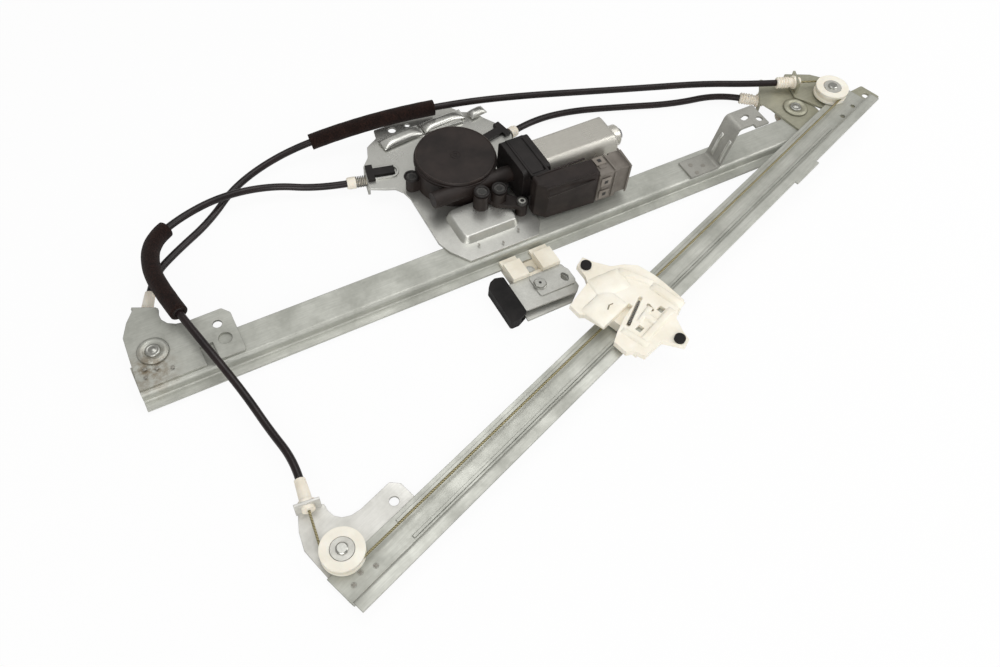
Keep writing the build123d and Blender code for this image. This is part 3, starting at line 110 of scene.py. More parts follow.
class Graph:
    """A material's node tree, with short calls to add and join its nodes."""

    RIM_SAMPLES = 4
    EDGE_SAMPLES = 6
    RIM_START = 0.72
    RIM_END = 0.97

    def __init__(self, name: str) -> None:
        """Start an empty tree with its output and its main shader.

        Args:
            name: the material's name.
        """
        self.material = bpy.data.materials.new(name)
        self.material.use_nodes = True
        self.nodes = self.material.node_tree.nodes
        self.links = self.material.node_tree.links
        self.nodes.clear()
        self.output = self.nodes.new("ShaderNodeOutputMaterial")
        self.shader = self.nodes.new("ShaderNodeBsdfPrincipled")
        self.join(self.shader.outputs["BSDF"], self.output.inputs["Surface"])

    def add(self, kind: str, **settings: object) -> bpy.types.Node:
        """Add a node.

        Args:
            kind: the node's type without its prefix.
            settings: the node's own settings.

        Returns:
            The new node.
        """
        node = self.nodes.new("ShaderNode" + kind)
        for key, value in settings.items():
            setattr(node, key, value)
        return node

    def join(self, source: Socket, target: Socket) -> None:
        """Link an output socket to an input socket."""
        self.links.new(source, target)

    def place(self, turn: float = 0.0, scale: Point = WHOLE) -> Socket:
        """Object coordinates, turned about the vertical and scaled.

        Args:
            turn: degrees about the vertical.
            scale: stretch along each axis.

        Returns:
            The vector socket.
        """
        coordinate = self.add("TexCoord")
        mapping = self.add("Mapping", vector_type="TEXTURE")
        mapping.inputs["Rotation"].default_value = (0.0, 0.0, math.radians(turn))
        mapping.inputs["Scale"].default_value = tuple(1.0 / value for value in scale)
        self.join(coordinate.outputs["Object"], mapping.inputs["Vector"])
        return mapping.outputs["Vector"]

    def noise(self, vector: Socket, pattern: Pattern) -> Socket:
        """Noise over a vector.

        Args:
            vector: the vector socket.
            pattern: the noise's sizes.

        Returns:
            The value socket.
        """
        node = self.add("TexNoise")
        node.inputs["Scale"].default_value = pattern.scale
        node.inputs["Detail"].default_value = pattern.detail
        node.inputs["Roughness"].default_value = pattern.rough
        self.join(vector, node.inputs["Vector"])
        return node.outputs["Fac"]

    def cells(self, vector: Socket, scale: float, output: str = "Distance") -> Socket:
        """Voronoi cells over a vector.

        Args:
            vector: the vector socket.
            scale: cells per metre.
            output: which output to give.

        Returns:
            The chosen socket.
        """
        node = self.add("TexVoronoi")
        node.inputs["Scale"].default_value = scale
        self.join(vector, node.inputs["Vector"])
        return node.outputs[output]

    def away(self, vector: Socket, place: Point) -> Socket:
        """Distance of a vector from one place.

        Args:
            vector: the vector socket.
            place: the place in metres.

        Returns:
            The value socket.
        """
        node = self.add("VectorMath", operation="DISTANCE")
        self.join(vector, node.inputs[0])
        node.inputs[1].default_value = place
        return node.outputs["Value"]

    def product(self, first: Socket, second: Socket) -> Socket:
        """Multiply two values.

        Args:
            first: the first value's socket.
            second: the second value's socket.

        Returns:
            The product's socket.
        """
        node = self.add("Math", operation="MULTIPLY")
        self.join(first, node.inputs[0])
        self.join(second, node.inputs[1])
        return node.outputs["Value"]

    def spread(self, value: Socket, band: Band) -> Socket:
        """Map a value's range onto another.

        Args:
            value: the value socket.
            band: both ranges.

        Returns:
            The mapped value socket.
        """
        node = self.add("MapRange")
        node.inputs["From Min"].default_value = band.start
        node.inputs["From Max"].default_value = band.end
        node.inputs["To Min"].default_value = band.low
        node.inputs["To Max"].default_value = band.high
        self.join(value, node.inputs["Value"])
        return node.outputs["Result"]

    def blend(self, factor: Socket, first: Socket | Colour, second: Socket | Colour) -> Socket:
        """Mix two colours.

        Args:
            factor: the share of the second colour.
            first: colour or colour socket where the factor is 0.
            second: colour or colour socket where the factor is 1.

        Returns:
            The colour socket.
        """
        node = self.add("Mix", data_type="RGBA")
        self.join(factor, node.inputs[0])
        for socket, value in ((node.inputs[6], first), (node.inputs[7], second)):
            if isinstance(value, tuple):
                socket.default_value = (*value, 1.0)
            else:
                self.join(value, socket)
        return node.outputs[2]

    def softened(self, edge: float, samples: int) -> Socket:
        """Normal over softened edges.

        Args:
            edge: radius of the softened edges in metres.
            samples: rays for each shading point.

        Returns:
            The normal's socket.
        """
        node = self.add("Bevel", samples=samples)
        node.inputs["Radius"].default_value = edge
        return node.outputs["Normal"]

    def rim(self, edge: float, share: float) -> Socket:
        """Mask of the solid's edges: how far a softened normal turns from the plain one.

        Args:
            edge: radius of the softened edges in metres.
            share: the mask's greatest value.

        Returns:
            The value socket.
        """
        plain = self.add("NewGeometry")
        match = self.add("VectorMath", operation="DOT_PRODUCT")
        self.join(self.softened(edge, self.RIM_SAMPLES), match.inputs[0])
        self.join(plain.outputs["Normal"], match.inputs[1])
        return self.spread(match.outputs["Value"], Band(share, 0.0, self.RIM_START, self.RIM_END))

    def relief(self, height: Socket, depth: float, strength: float, edge: float = 0.0) -> None:
        """Give the shader a bump, over softened edges where an edge radius is given.

        Args:
            height: the height's value socket.
            depth: the relief's depth in metres.
            strength: the bump's strength.
            edge: radius of the softened edges in metres.
        """
        bump = self.add("Bump")
        bump.inputs["Strength"].default_value = strength
        bump.inputs["Distance"].default_value = depth
        self.join(height, bump.inputs["Height"])
        if edge:
            self.join(self.softened(edge, self.EDGE_SAMPLES), bump.inputs["Normal"])
        self.join(bump.outputs["Normal"], self.shader.inputs["Normal"])


@dataclass(frozen=True)
class SheetSteel:
    """Galvanised or drawn steel with rolling marks, cloudy zinc, handling stains, and painted shade along its
    edges and creases.
    """

    name: str
    light: Colour = tone(206, 207, 199)
    dark: Colour = tone(158, 159, 151)
    # Dark edge colour: partly the bare steel of sheared edges, partly painted shade blended along every edge
    # and crease.
    sheared_edge_and_shade: Colour = tone(78, 78, 72)
    dirt: Colour = tone(122, 104, 78)
    grain: Grain = Grain.REAR_RAIL
    metallic: float = 0.62
    rough_low: float = 0.4
    rough_high: float = 0.56
    edge: float = 0.0006
    edge_shade_share: float = 0.6
    stain_at: Point | None = None
    stretch: float = 0.06
    spangle: float = 420.0
    worn_shade: float = 0.72
    streak_depth: float = 0.00006
    streak_strength: float = 0.55
    streaks: Pattern = Pattern(900.0, 4.0, 0.65)
    clouds: Pattern = Pattern(28.0, 4.0, 0.6)
    stains: Pattern = Pattern(9.0, 5.0, 0.7)
    specks: Pattern = Pattern(160.0, 4.0, 0.7)
    cloud_band: Band = Band(0.0, 0.75)
    streak_band: Band = Band(0.0, 0.55, 0.3, 0.7)
    spangle_band: Band = Band(0.0, 0.22, 0.0, 1.0)
    stain_band: Band = Band(0.0, 0.32, 0.56, 0.72)
    near_band: Band = Band(1.0, 0.0, 0.004, 0.024)
    speck_band: Band = Band(0.0, 0.8, 0.4, 0.6)

    def skin(self, graph: Graph, streaks: Socket, clouds: Socket) -> Socket:
        """Colour of the zinc.

        Args:
            graph: the material's tree.
            streaks: the rolling marks' value.
            clouds: the zinc clouds' value.

        Returns:
            The colour's socket.
        """
        plain = graph.place()
        body = graph.blend(graph.spread(clouds, self.cloud_band), self.light, self.dark)
        body = graph.blend(graph.spread(streaks, self.streak_band), body, self.dark)
        grey = graph.add("RGBToBW")
        graph.join(graph.cells(plain, self.spangle, "Color"), grey.inputs["Color"])
        body = graph.blend(graph.spread(grey.outputs["Val"], self.spangle_band), body, self.light)
        worn = tuple(value * self.worn_shade for value in self.dark)
        body = graph.blend(graph.spread(graph.noise(plain, self.stains), self.stain_band), body, worn)
        if self.stain_at:
            near = graph.spread(graph.away(plain, self.stain_at), self.near_band)
            specks = graph.spread(graph.noise(plain, self.specks), self.speck_band)
            body = graph.blend(graph.product(near, specks), body, self.dirt)
        # Painted shade: the edge mask darkens every edge and crease towards the dark edge colour; only the
        # sheared edges are really this dark.
        if self.edge:
            body = graph.blend(graph.rim(self.edge, self.edge_shade_share), body, self.sheared_edge_and_shade)
        return body

    def build(self) -> bpy.types.Material:
        """Make the material.

        Returns:
            The steel.
        """
        graph = Graph(self.name)
        turn = max(self.grain.value, 0.0)
        scale = WHOLE if self.grain is Grain.NONE else (self.stretch, 1.0, 1.0)
        streaks = graph.noise(graph.place(turn, scale), self.streaks)
        clouds = graph.noise(graph.place(), self.clouds)
        rough = Band(self.rough_low, self.rough_high)
        graph.join(self.skin(graph, streaks, clouds), graph.shader.inputs["Base Color"])
        graph.join(graph.spread(clouds, rough), graph.shader.inputs["Roughness"])
        graph.shader.inputs["Metallic"].default_value = self.metallic
        graph.relief(streaks, self.streak_depth, self.streak_strength, self.edge)
        return graph.material


@dataclass(frozen=True)
class BlackenedScrews:
    """Blackened screws, with one left bright where its post stands."""

    name: str
    bright_at: Point
    reach: float
    bright: Colour = tone(214, 214, 206)
    black: Colour = tone(34, 31, 30)
    soft_share: float = 0.98
    edge: float = 0.0004
    depth: float = 0.00005
    strength: float = 0.6
    wear: Pattern = Pattern(700.0, 4.0, 0.7)
    wear_band: Band = Band(0.0, 0.1)
    metal_band: Band = Band(0.1, 0.95, 0.0, 1.0)
    rough_band: Band = Band(0.3, 0.44)

    def build(self) -> bpy.types.Material:
        """Make the material.

        Returns:
            The screws' finish.
        """
        graph = Graph(self.name)
        plain = graph.place()
        band = Band(1.0, 0.0, self.reach * self.soft_share, self.reach)
        near = graph.spread(graph.away(plain, self.bright_at), band)
        wear = graph.noise(plain, self.wear)
        worn = graph.blend(graph.spread(wear, self.wear_band), self.black, self.bright)
        graph.join(graph.blend(near, worn, self.bright), graph.shader.inputs["Base Color"])
        graph.join(graph.spread(near, self.metal_band), graph.shader.inputs["Metallic"])
        graph.join(graph.spread(wear, self.rough_band), graph.shader.inputs["Roughness"])
        graph.relief(wear, self.depth, self.strength, self.edge)
        return graph.material


@dataclass(frozen=True)
class MouldedPlastic:
    """Injection-moulded plastic with a fine grain, flow clouds and a soft sheen."""

    name: str
    light: Colour
    dark: Colour
    rough: float = 0.42
    grain_scale: float = 2600.0
    grain_depth: float = 0.00005
    grain_strength: float = 0.6
    glow: float = 0.0
    glow_reach: Point = (0.004, 0.003, 0.002)
    glow_scale: float = 0.5
    edge: float = 0.0004
    dust: float = 0.12
    gloss: float = 0.34
    scuff_turn: float = 35.0
    scuff_stretch: Point = (0.15, 1.0, 1.0)
    pale_share: float = 1.5
    pale_lift: float = 0.02
    clouds: Pattern = Pattern(45.0, 4.0, 0.6)
    grain_detail: float = 2.0
    scuffs: Pattern = Pattern(520.0, 5.0, 0.75)
    scuff_start: float = 0.55
    scuff_end: float = 0.75
    cloud_band: Band = Band(0.0, 1.0)
    smoother: float = 0.06
    rougher: float = 0.08

    def build(self) -> bpy.types.Material:
        """Make the material.

        Returns:
            The plastic.
        """
        graph = Graph(self.name)
        plain = graph.place()
        grain = graph.noise(plain, Pattern(self.grain_scale, self.grain_detail))
        clouds = graph.noise(plain, self.clouds)
        scuffs = graph.noise(graph.place(self.scuff_turn, self.scuff_stretch), self.scuffs)
        body = graph.blend(graph.spread(clouds, self.cloud_band), self.light, self.dark)
        pale = tuple(min(1.0, value * self.pale_share + self.pale_lift) for value in self.light)
        dusted = Band(0.0, self.dust, self.scuff_start, self.scuff_end)
        body = graph.blend(graph.spread(scuffs, dusted), body, pale)
        rough = Band(self.rough - self.smoother, self.rough + self.rougher)
        graph.join(body, graph.shader.inputs["Base Color"])
        graph.join(graph.spread(clouds, rough), graph.shader.inputs["Roughness"])
        graph.shader.inputs["Specular IOR Level"].default_value = self.gloss
        if self.glow:
            graph.shader.inputs["Subsurface Weight"].default_value = self.glow
            graph.shader.inputs["Subsurface Radius"].default_value = self.glow_reach
            graph.shader.inputs["Subsurface Scale"].default_value = self.glow_scale
        graph.relief(grain, self.grain_depth, self.grain_strength, self.edge)
        return graph.material


@dataclass(frozen=True)
class CellFoam:
    """Dark closed-cell foam tube with open cells at its cut skin."""

    name: str
    light: Colour = tone(48, 32, 27)
    dark: Colour = tone(17, 11, 9)
    rough: float = 0.92
    gloss: float = 0.12
    sheen: float = 0.06
    sheen_rough: float = 0.6
    cell_scale: float = 900.0
    cell_depth: float = 0.0005
    cell_strength: float = 0.7
    clouds: Pattern = Pattern(130.0, 5.0, 0.7)
    cell_band: Band = Band(0.0, 1.0, 0.1, 0.75)
    cloud_band: Band = Band(0.0, 0.6)

    def build(self) -> bpy.types.Material:
        """Make the material.

        Returns:
            The foam.
        """
        graph = Graph(self.name)
        plain = graph.place()
        cells = graph.cells(plain, self.cell_scale)
        clouds = graph.noise(plain, self.clouds)
        body = graph.blend(graph.spread(cells, self.cell_band), self.dark, self.light)
        body = graph.blend(graph.spread(clouds, self.cloud_band), body, self.dark)
        graph.join(body, graph.shader.inputs["Base Color"])
        graph.shader.inputs["Roughness"].default_value = self.rough
        graph.shader.inputs["Specular IOR Level"].default_value = self.gloss
        graph.shader.inputs["Sheen Weight"].default_value = self.sheen
        graph.shader.inputs["Sheen Roughness"].default_value = self.sheen_rough
        graph.relief(cells, self.cell_depth, self.cell_strength)
        return graph.material


@dataclass(frozen=True)
class WireRope:
    """Stranded wire with an oily film."""

    name: str
    light: Colour = tone(150, 148, 142)
    dark: Colour = tone(62, 60, 57)
    lay: float = 260.0
    lay_wander: float = 0.6
    metallic: float = 0.9
    rough: float = 0.34
    strand_depth: float = 0.0002
    strand_strength: float = 0.8

    def build(self) -> bpy.types.Material:
        """Make the material.

        Returns:
            The rope.
        """
        graph = Graph(self.name)
        wave = graph.add("TexWave", wave_type="BANDS", bands_direction="DIAGONAL")
        wave.inputs["Scale"].default_value = self.lay
        wave.inputs["Distortion"].default_value = self.lay_wander
        graph.join(graph.place(), wave.inputs["Vector"])
        body = graph.blend(wave.outputs["Fac"], self.dark, self.light)
        graph.join(body, graph.shader.inputs["Base Color"])
        graph.shader.inputs["Metallic"].default_value = self.metallic
        graph.shader.inputs["Roughness"].default_value = self.rough
        graph.relief(wave.outputs["Fac"], self.strand_depth, self.strand_strength)
        return graph.material


class MeshBuilder:
    """Shared calls that make plain mesh objects at the origin."""

    MERGE = 1e-7

    @staticmethod
    def object_from(name: str, verts: list[Vector] | list[Point], faces: Faces, material: bpy.types.Material,
                    smooth: bool = True) -> bpy.types.Object:
        """Make an object from points and faces.

        Args:
            name: the object's name.
            verts: points in metres.
            faces: tuples of point numbers.
            material: its finish.
            smooth: whether the faces shade smoothly.

        Returns:
            The object.
        """
        mesh = bpy.data.meshes.new(name)
        mesh.from_pydata([tuple(v) for v in verts], [], faces)
        work = bmesh.new()
        work.from_mesh(mesh)
        bmesh.ops.remove_doubles(work, verts=work.verts, dist=MeshBuilder.MERGE)
        bmesh.ops.recalc_face_normals(work, faces=work.faces)
        for face in work.faces:
            face.smooth = smooth
        work.to_mesh(mesh)
        work.free()
        mesh.materials.append(material)
        piece = bpy.data.objects.new(name, mesh)
        bpy.context.scene.collection.objects.link(piece)
        return piece

    @staticmethod
    def walls(loops: int, sides: int) -> Faces:
        """Faces between loops of points that follow each other.

        Args:
            loops: how many loops there are.
            sides: points in each loop.

        Returns:
            The faces, as tuples of point numbers.
        """
        faces = []
        for loop in range(loops - 1):
            for side in range(sides):
                after = (side + 1) % sides
                faces.append((loop * sides + side, loop * sides + after, (loop + 1) * sides + after,
                              (loop + 1) * sides + side))
        return faces

    @staticmethod
    def lathe(origin: Vector, axis: Vector, profile: tuple[Pair, ...],
              steps: int) -> tuple[list[Vector], Faces]:
        """Turn a profile about an axis into a closed skin.

        Args:
            origin: a point on the axis.
            axis: the axis's direction.
            profile: pairs of distance along the axis and radius, from pole to pole or closed.
            steps: points round the axis.

        Returns:
            The points and the faces.
        """
        axis = axis.normalized()
        side = axis.orthogonal().normalized()
        other = axis.cross(side)
        verts = []
        for distance, radius in profile:
            for step in range(steps):
                angle = 2 * math.pi * step / steps
                out = side * math.cos(angle) + other * math.sin(angle)
                verts.append(origin + axis * distance + out * radius)
        return verts, MeshBuilder.walls(len(profile), steps)


@dataclass
class RailFrame:
    """Frame of one rail: along it, across it, and up from the floor."""

    origin: Vector
    turn: float
    tilt: float
    face: Face

    @property
    def along(self) -> Vector:
        """Unit vector up the rail."""
        turn, tilt = math.radians(self.turn), math.radians(self.tilt)
        return Vector((math.cos(turn) * math.cos(tilt), math.sin(turn) * math.cos(tilt), math.sin(tilt)))

    @property
    def up(self) -> Vector:
        """Unit vector away from the floor."""
        turn, tilt = math.radians(self.turn), math.radians(self.tilt)
        return Vector((-math.cos(turn) * math.sin(tilt), -math.sin(turn) * math.sin(tilt), math.cos(tilt)))

    @property
    def across(self) -> Vector:
        """Unit vector across the rail, to the left of its length."""
        return self.up.cross(self.along)

    def spot(self, u: float, v: float, h: float) -> Vector:
        """A point from millimetres along, across and in from the plates' outer face.

        Args:
            u: along the rail.
            v: across the rail.
            h: from the plates' outer face towards the pulleys.

        Returns:
            The point in metres.
        """
        local = self.along * u + self.across * v + self.up * (h * self.face.value)
        return self.origin + local * MILLIMETRE

    def heading(self, degrees: float) -> Vector:
        """Direction in the rail's plane.

        Args:
            degrees: turn from the rail's length.

        Returns:
            The unit vector.
        """
        angle = math.radians(degrees)
        return self.along * math.cos(angle) + self.across * math.sin(angle)


REAR = RailFrame(Vector((-0.0495, -0.003, 0.0)), 0.0, 0.0, Face.DOWN)
FRONT = RailFrame(Vector((0.0113, -0.205, -0.0135)), 18.62, 1.32454, Face.UP)


@dataclass
class PhotoCamera:
    """Camera at the photograph's angle."""

    place: Point = (-0.04253, -0.42944, 0.58174)
    right: Point = (0.87018, -0.48782, 0.06943)
    down: Point = (-0.37027, -0.74034, -0.56106)
    focal_px: float = 919.8
    wide_px: float = 1000.0
    sensor: float = 36.0
    clip_start: float = 0.02

    def build(self) -> bpy.types.Object:
        """Make the camera and use it.

        Returns:
            The camera.
        """
        data = bpy.data.cameras.new("photo_camera")
        data.sensor_fit = "HORIZONTAL"
        data.sensor_width = self.sensor
        data.lens = self.focal_px * self.sensor / self.wide_px
        data.clip_start = self.clip_start
        camera = bpy.data.objects.new("photo_camera", data)
        right = Vector(self.right).normalized()
        down = Vector(self.down)
        down = (down - right * down.dot(right)).normalized()
        forward = right.cross(down)
        turned = Matrix((right, -down, -forward)).transposed().to_4x4()
        camera.matrix_world = Matrix.Translation(Vector(self.place)) @ turned
        bpy.context.scene.collection.objects.link(camera)
        bpy.context.scene.camera = camera
        log.info("camera placed")
        return camera


@dataclass(frozen=True)
class Lamp:
    """One soft square lamp: where it stands, its side in metres and its power in watts."""

    name: str
    place: Point
    side: float
    power: float

    def build(self, aim: Point) -> bpy.types.Object:
        """Hang the lamp.

        Args:
            aim: what it faces.

        Returns:
            The lamp.
        """
        data = bpy.data.lights.new(self.name, "AREA")
        data.shape = "SQUARE"
        data.size = self.side
        data.energy = self.power
        lamp = bpy.data.objects.new(self.name, data)
        away = Vector(self.place) - Vector(aim)
        turned = away.to_track_quat("Z", "Y").to_matrix().to_4x4()
        lamp.matrix_world = Matrix.Translation(Vector(self.place)) @ turned
        bpy.context.scene.collection.objects.link(lamp)
        return lamp


@dataclass
class Studio:
    """Pale floor and soft light."""

    floor_z: float = -0.0151
    floor_size: float = 40.0
    floor_colour: Colour = (0.86, 0.86, 0.86)
    floor_rough: float = 0.9
    floor_gloss: float = 0.1
    camera_white: float = 0.93
    seen_white: float = 0.962
    world_colour: Colour = (1.0, 0.99, 0.97)
    world_strength: float = 0.42
    aim: Point = (0.25, -0.05, 0.0)
    lamps: tuple[Lamp, ...] = (
        Lamp("key_lamp", (0.46, 0.2, 1.4), 1.1, 7.0),
        Lamp("side_lamp", (1.3, -0.5, 0.8), 0.9, 6.0),
        Lamp("front_lamp", (-0.6, -1.3, 0.7), 1.2, 13.0),
    )

    def background(self) -> None:
        """Pale world that is white where the camera sees it."""
        world = bpy.data.worlds.new("studio_world")
        bpy.context.scene.world = world
        world.use_nodes = True
        tree = world.node_tree
        tree.nodes.clear()
        output = tree.nodes.new("ShaderNodeOutputWorld")
        path = tree.nodes.new("ShaderNodeLightPath")
        mix = tree.nodes.new("ShaderNodeMixShader")
        tree.links.new(path.outputs["Is Camera Ray"], mix.inputs["Fac"])
        sides = ((*self.world_colour, 1.0), self.world_strength), (WHITE, self.seen_white)
        for socket, (colour, strength) in zip(mix.inputs[1:], sides):
            side = tree.nodes.new("ShaderNodeBackground")
            side.inputs["Color"].default_value = colour
            side.inputs["Strength"].default_value = strength
            tree.links.new(side.outputs["Background"], socket)
        tree.links.new(mix.outputs["Shader"], output.inputs["Surface"])

    def floor(self) -> None:
        """Flat pale floor that keeps the object's shadow."""
        half = self.floor_size / 2
        corners = [(-half, -half), (half, -half), (half, half), (-half, half)]
        graph = Graph("studio_floor")
        graph.shader.inputs["Base Color"].default_value = (*self.floor_colour, 1.0)
        graph.shader.inputs["Roughness"].default_value = self.floor_rough
        graph.shader.inputs["Specular IOR Level"].default_value = self.floor_gloss
        glow = graph.add("Emission")
        glow.inputs["Color"].default_value = WHITE
        glow.inputs["Strength"].default_value = 1.0
        path = graph.add("LightPath")
        share = graph.add("Math", operation="MULTIPLY")
        share.inputs[1].default_value = self.camera_white
        graph.join(path.outputs["Is Camera Ray"], share.inputs[0])
        mix = graph.add("MixShader")
        graph.join(share.outputs["Value"], mix.inputs["Fac"])
        graph.join(graph.shader.outputs["BSDF"], mix.inputs[1])
        graph.join(glow.outputs["Emission"], mix.inputs[2])
        graph.join(mix.outputs["Shader"], graph.output.inputs["Surface"])
        floor = MeshBuilder.object_from("studio_floor", [(x, y, self.floor_z) for x, y in corners],
                                        [(0, 1, 2, 3)], graph.material, False)

    def build(self) -> None:
        """Set up the world, floor and lamps."""
        self.background()
        self.floor()
        for lamp in self.lamps:
            lamp.build(self.aim)
        bpy.context.scene.view_settings.view_transform = "Standard"
        log.info("studio lit")


Finish = SheetSteel | BlackenedScrews | MouldedPlastic | CellFoam | WireRope


@dataclass
class Finishes:
    """Every finish of the object, made once."""

    made: dict[str, bpy.types.Material] = field(default_factory=dict)

    @staticmethod
    def sheets() -> dict[str, Finish]:
        """Finishes of the pressed steel.

        Returns:
            The finishes under their short names.
        """
        plain = SheetSteel("plain_steel", grain=Grain.NONE)
        return {
            "rear_zinc": SheetSteel("zinc_rear", stain_at=(-0.056, -0.018, 0.0)),
            "front_zinc": SheetSteel("zinc_front", grain=Grain.FRONT_RAIL),
            "lower_zinc": SheetSteel("zinc_front_lower", tone(230, 229, 224), tone(194, 193, 187),
                                     grain=Grain.FRONT_RAIL, metallic=0.55),
            "upper_zinc": SheetSteel("zinc_upper", tone(188, 186, 167), tone(144, 143, 126)),
            "plate_zinc": replace(plain, name="zinc_plate", light=tone(226, 226, 220), dark=tone(186, 186, 180),
                                  metallic=0.82, rough_low=0.26, rough_high=0.38),
            "pressed_zinc": replace(plain, name="zinc_pressed", light=tone(224, 224, 218),
                                    dark=tone(182, 182, 176), metallic=0.85, rough_low=0.24, rough_high=0.36,
                                    edge=0.0),
            "bracket_zinc": replace(plain, name="zinc_bracket", light=tone(178, 177, 170),
                                    dark=tone(136, 135, 129), metallic=0.45, rough_low=0.5, rough_high=0.64),
            "clamp_zinc": replace(plain, name="zinc_clamp", light=tone(202, 202, 196),
                                  dark=tone(162, 162, 156)),
            "can_steel": SheetSteel("can_steel", tone(228, 225, 216), tone(198, 195, 186), metallic=0.8,
                                    rough_low=0.24, rough_high=0.34, edge=0.0036, edge_shade_share=0.0),
            "weld_mark": replace(plain, name="weld_mark", light=tone(164, 161, 153), dark=tone(132, 129, 121),
                                 metallic=0.6, edge=0.0),
        }

    @staticmethod
    def turned() -> dict[str, Finish]:
        """Finishes of the turned, drawn and stranded metal.

        Returns:
            The finishes under their short names.
        """
        plain = SheetSteel("plain_metal", grain=Grain.NONE, metallic=0.95)
        return {
            "rivet_steel": replace(plain, name="rivet_steel", light=tone(198, 198, 192),
                                   dark=tone(132, 132, 126), rough_low=0.26, rough_high=0.4, edge=0.0004),
            "bush_steel": replace(plain, name="bush_steel", light=tone(212, 211, 204), dark=tone(178, 177, 170),
                                  metallic=0.7, edge=0.0004),
            "screw_steel": replace(plain, name="screw_steel", light=tone(206, 206, 200),
                                   dark=tone(160, 160, 152), rough_low=0.24, rough_high=0.38, edge=0.0004),
            "motor_screws": BlackenedScrews("blackened_screws", (0.263, -0.003, 0.0144), 0.0031),
            "wire_rope": WireRope("wire_rope"),
            "greased_rope": WireRope("greased_rope", tone(176, 168, 134), tone(118, 108, 78)),
            "spring_wire": replace(plain, name="spring_wire", light=tone(150, 148, 140), dark=tone(84, 82, 78),
                                   edge=0.0),
            "copper": replace(plain, name="copper", light=tone(214, 140, 100), dark=tone(176, 104, 70),
                              rough_low=0.2, rough_high=0.36),
            "core_steel": replace(plain, name="core_steel", light=tone(120, 120, 124), dark=tone(84, 84, 88),
                                  metallic=0.62),
            "bronze": replace(plain, name="bronze", light=tone(176, 140, 84), dark=tone(138, 106, 62),
                              metallic=0.62),
            "pin_metal": replace(plain, name="pin_metal", light=tone(212, 200, 158), dark=tone(180, 166, 126),
                                 rough_low=0.2, rough_high=0.3),
        }

    @staticmethod
    def moulded() -> dict[str, Finish]:
        """Finishes of the plastic, rubber and foam.

        Returns:
            The finishes under their short names.
        """
        kind = MouldedPlastic
        return {
            "pulley_nylon": kind("pulley_nylon", tone(244, 240, 228), tone(230, 224, 208), 0.38, glow=0.12),
            "nipple_nylon": kind("nipple_nylon", tone(243, 236, 222), tone(228, 219, 202), 0.4, glow=0.12),
            "carrier_nylon": kind("carrier_nylon", tone(240, 235, 220), tone(226, 218, 200), 0.46, glow=0.08),
            "cream_acetal": kind("cream_acetal", tone(247, 242, 229), tone(236, 229, 212), 0.44, glow=0.1),
            "cream_shadow": kind("cream_shadow", tone(150, 142, 118), tone(120, 112, 92), 0.6, edge=0.0),
            "drum_acetal": kind("drum_acetal", tone(222, 218, 200), tone(205, 199, 178), 0.4),
            "brown_black": kind("brown_black_plastic", tone(46, 38, 35), tone(32, 26, 24), 0.5, 1500.0, 0.00009,
                                edge=0.0009),
            "black_plastic": kind("black_plastic", tone(38, 34, 33), tone(24, 21, 20), 0.48, edge=0.0008),
            # Paler brown plastic used only on the cover's rim ring: a painted highlight along the cover's edge.
            "painted_rim_highlight": kind("painted_rim_highlight", tone(58, 50, 46), tone(42, 36, 33), 0.36, edge=0.0),
            # Dark grey for screw sockets and latch windows: painted shade inside hollows.
            "recess_shade": kind("screw_recess_shade", tone(60, 59, 57), tone(34, 33, 32), 0.5, edge=0.0),
            "taupe_plastic": kind("taupe_plastic", tone(124, 118, 111), tone(104, 98, 91), 0.52, edge=0.0007),
            "pale_taupe": kind("pale_taupe_plastic", tone(136, 129, 121), tone(118, 111, 103), 0.48),
            "conduit_cover": kind("conduit_cover", tone(42, 34, 34), tone(22, 17, 18), 0.3, 700.0, 0.0001,
                                  edge=0.0, dust=0.05),
            "moulded_rubber": kind("moulded_rubber", tone(28, 25, 24), tone(15, 13, 13), 0.66),
            "foam": CellFoam("foam_tube"),
            "carbon": kind("carbon", tone(60, 60, 60), tone(40, 40, 40), 0.6),
            "ferrite": kind("ferrite", tone(96, 96, 100), tone(76, 76, 80), 0.7),
            "board": kind("coated_board", tone(44, 96, 62), tone(32, 76, 48), 0.3),
        }

    def build(self) -> None:
        """Make each finish under its short name."""
        for kinds in (self.sheets(), self.turned(), self.moulded()):
            for short, kind in kinds.items():
                self.made[short] = kind.build()
        log.info("%d finishes", len(self.made))

    def of(self, short: str) -> bpy.types.Material:
        """A finish by its short name."""
        return self.made[short]


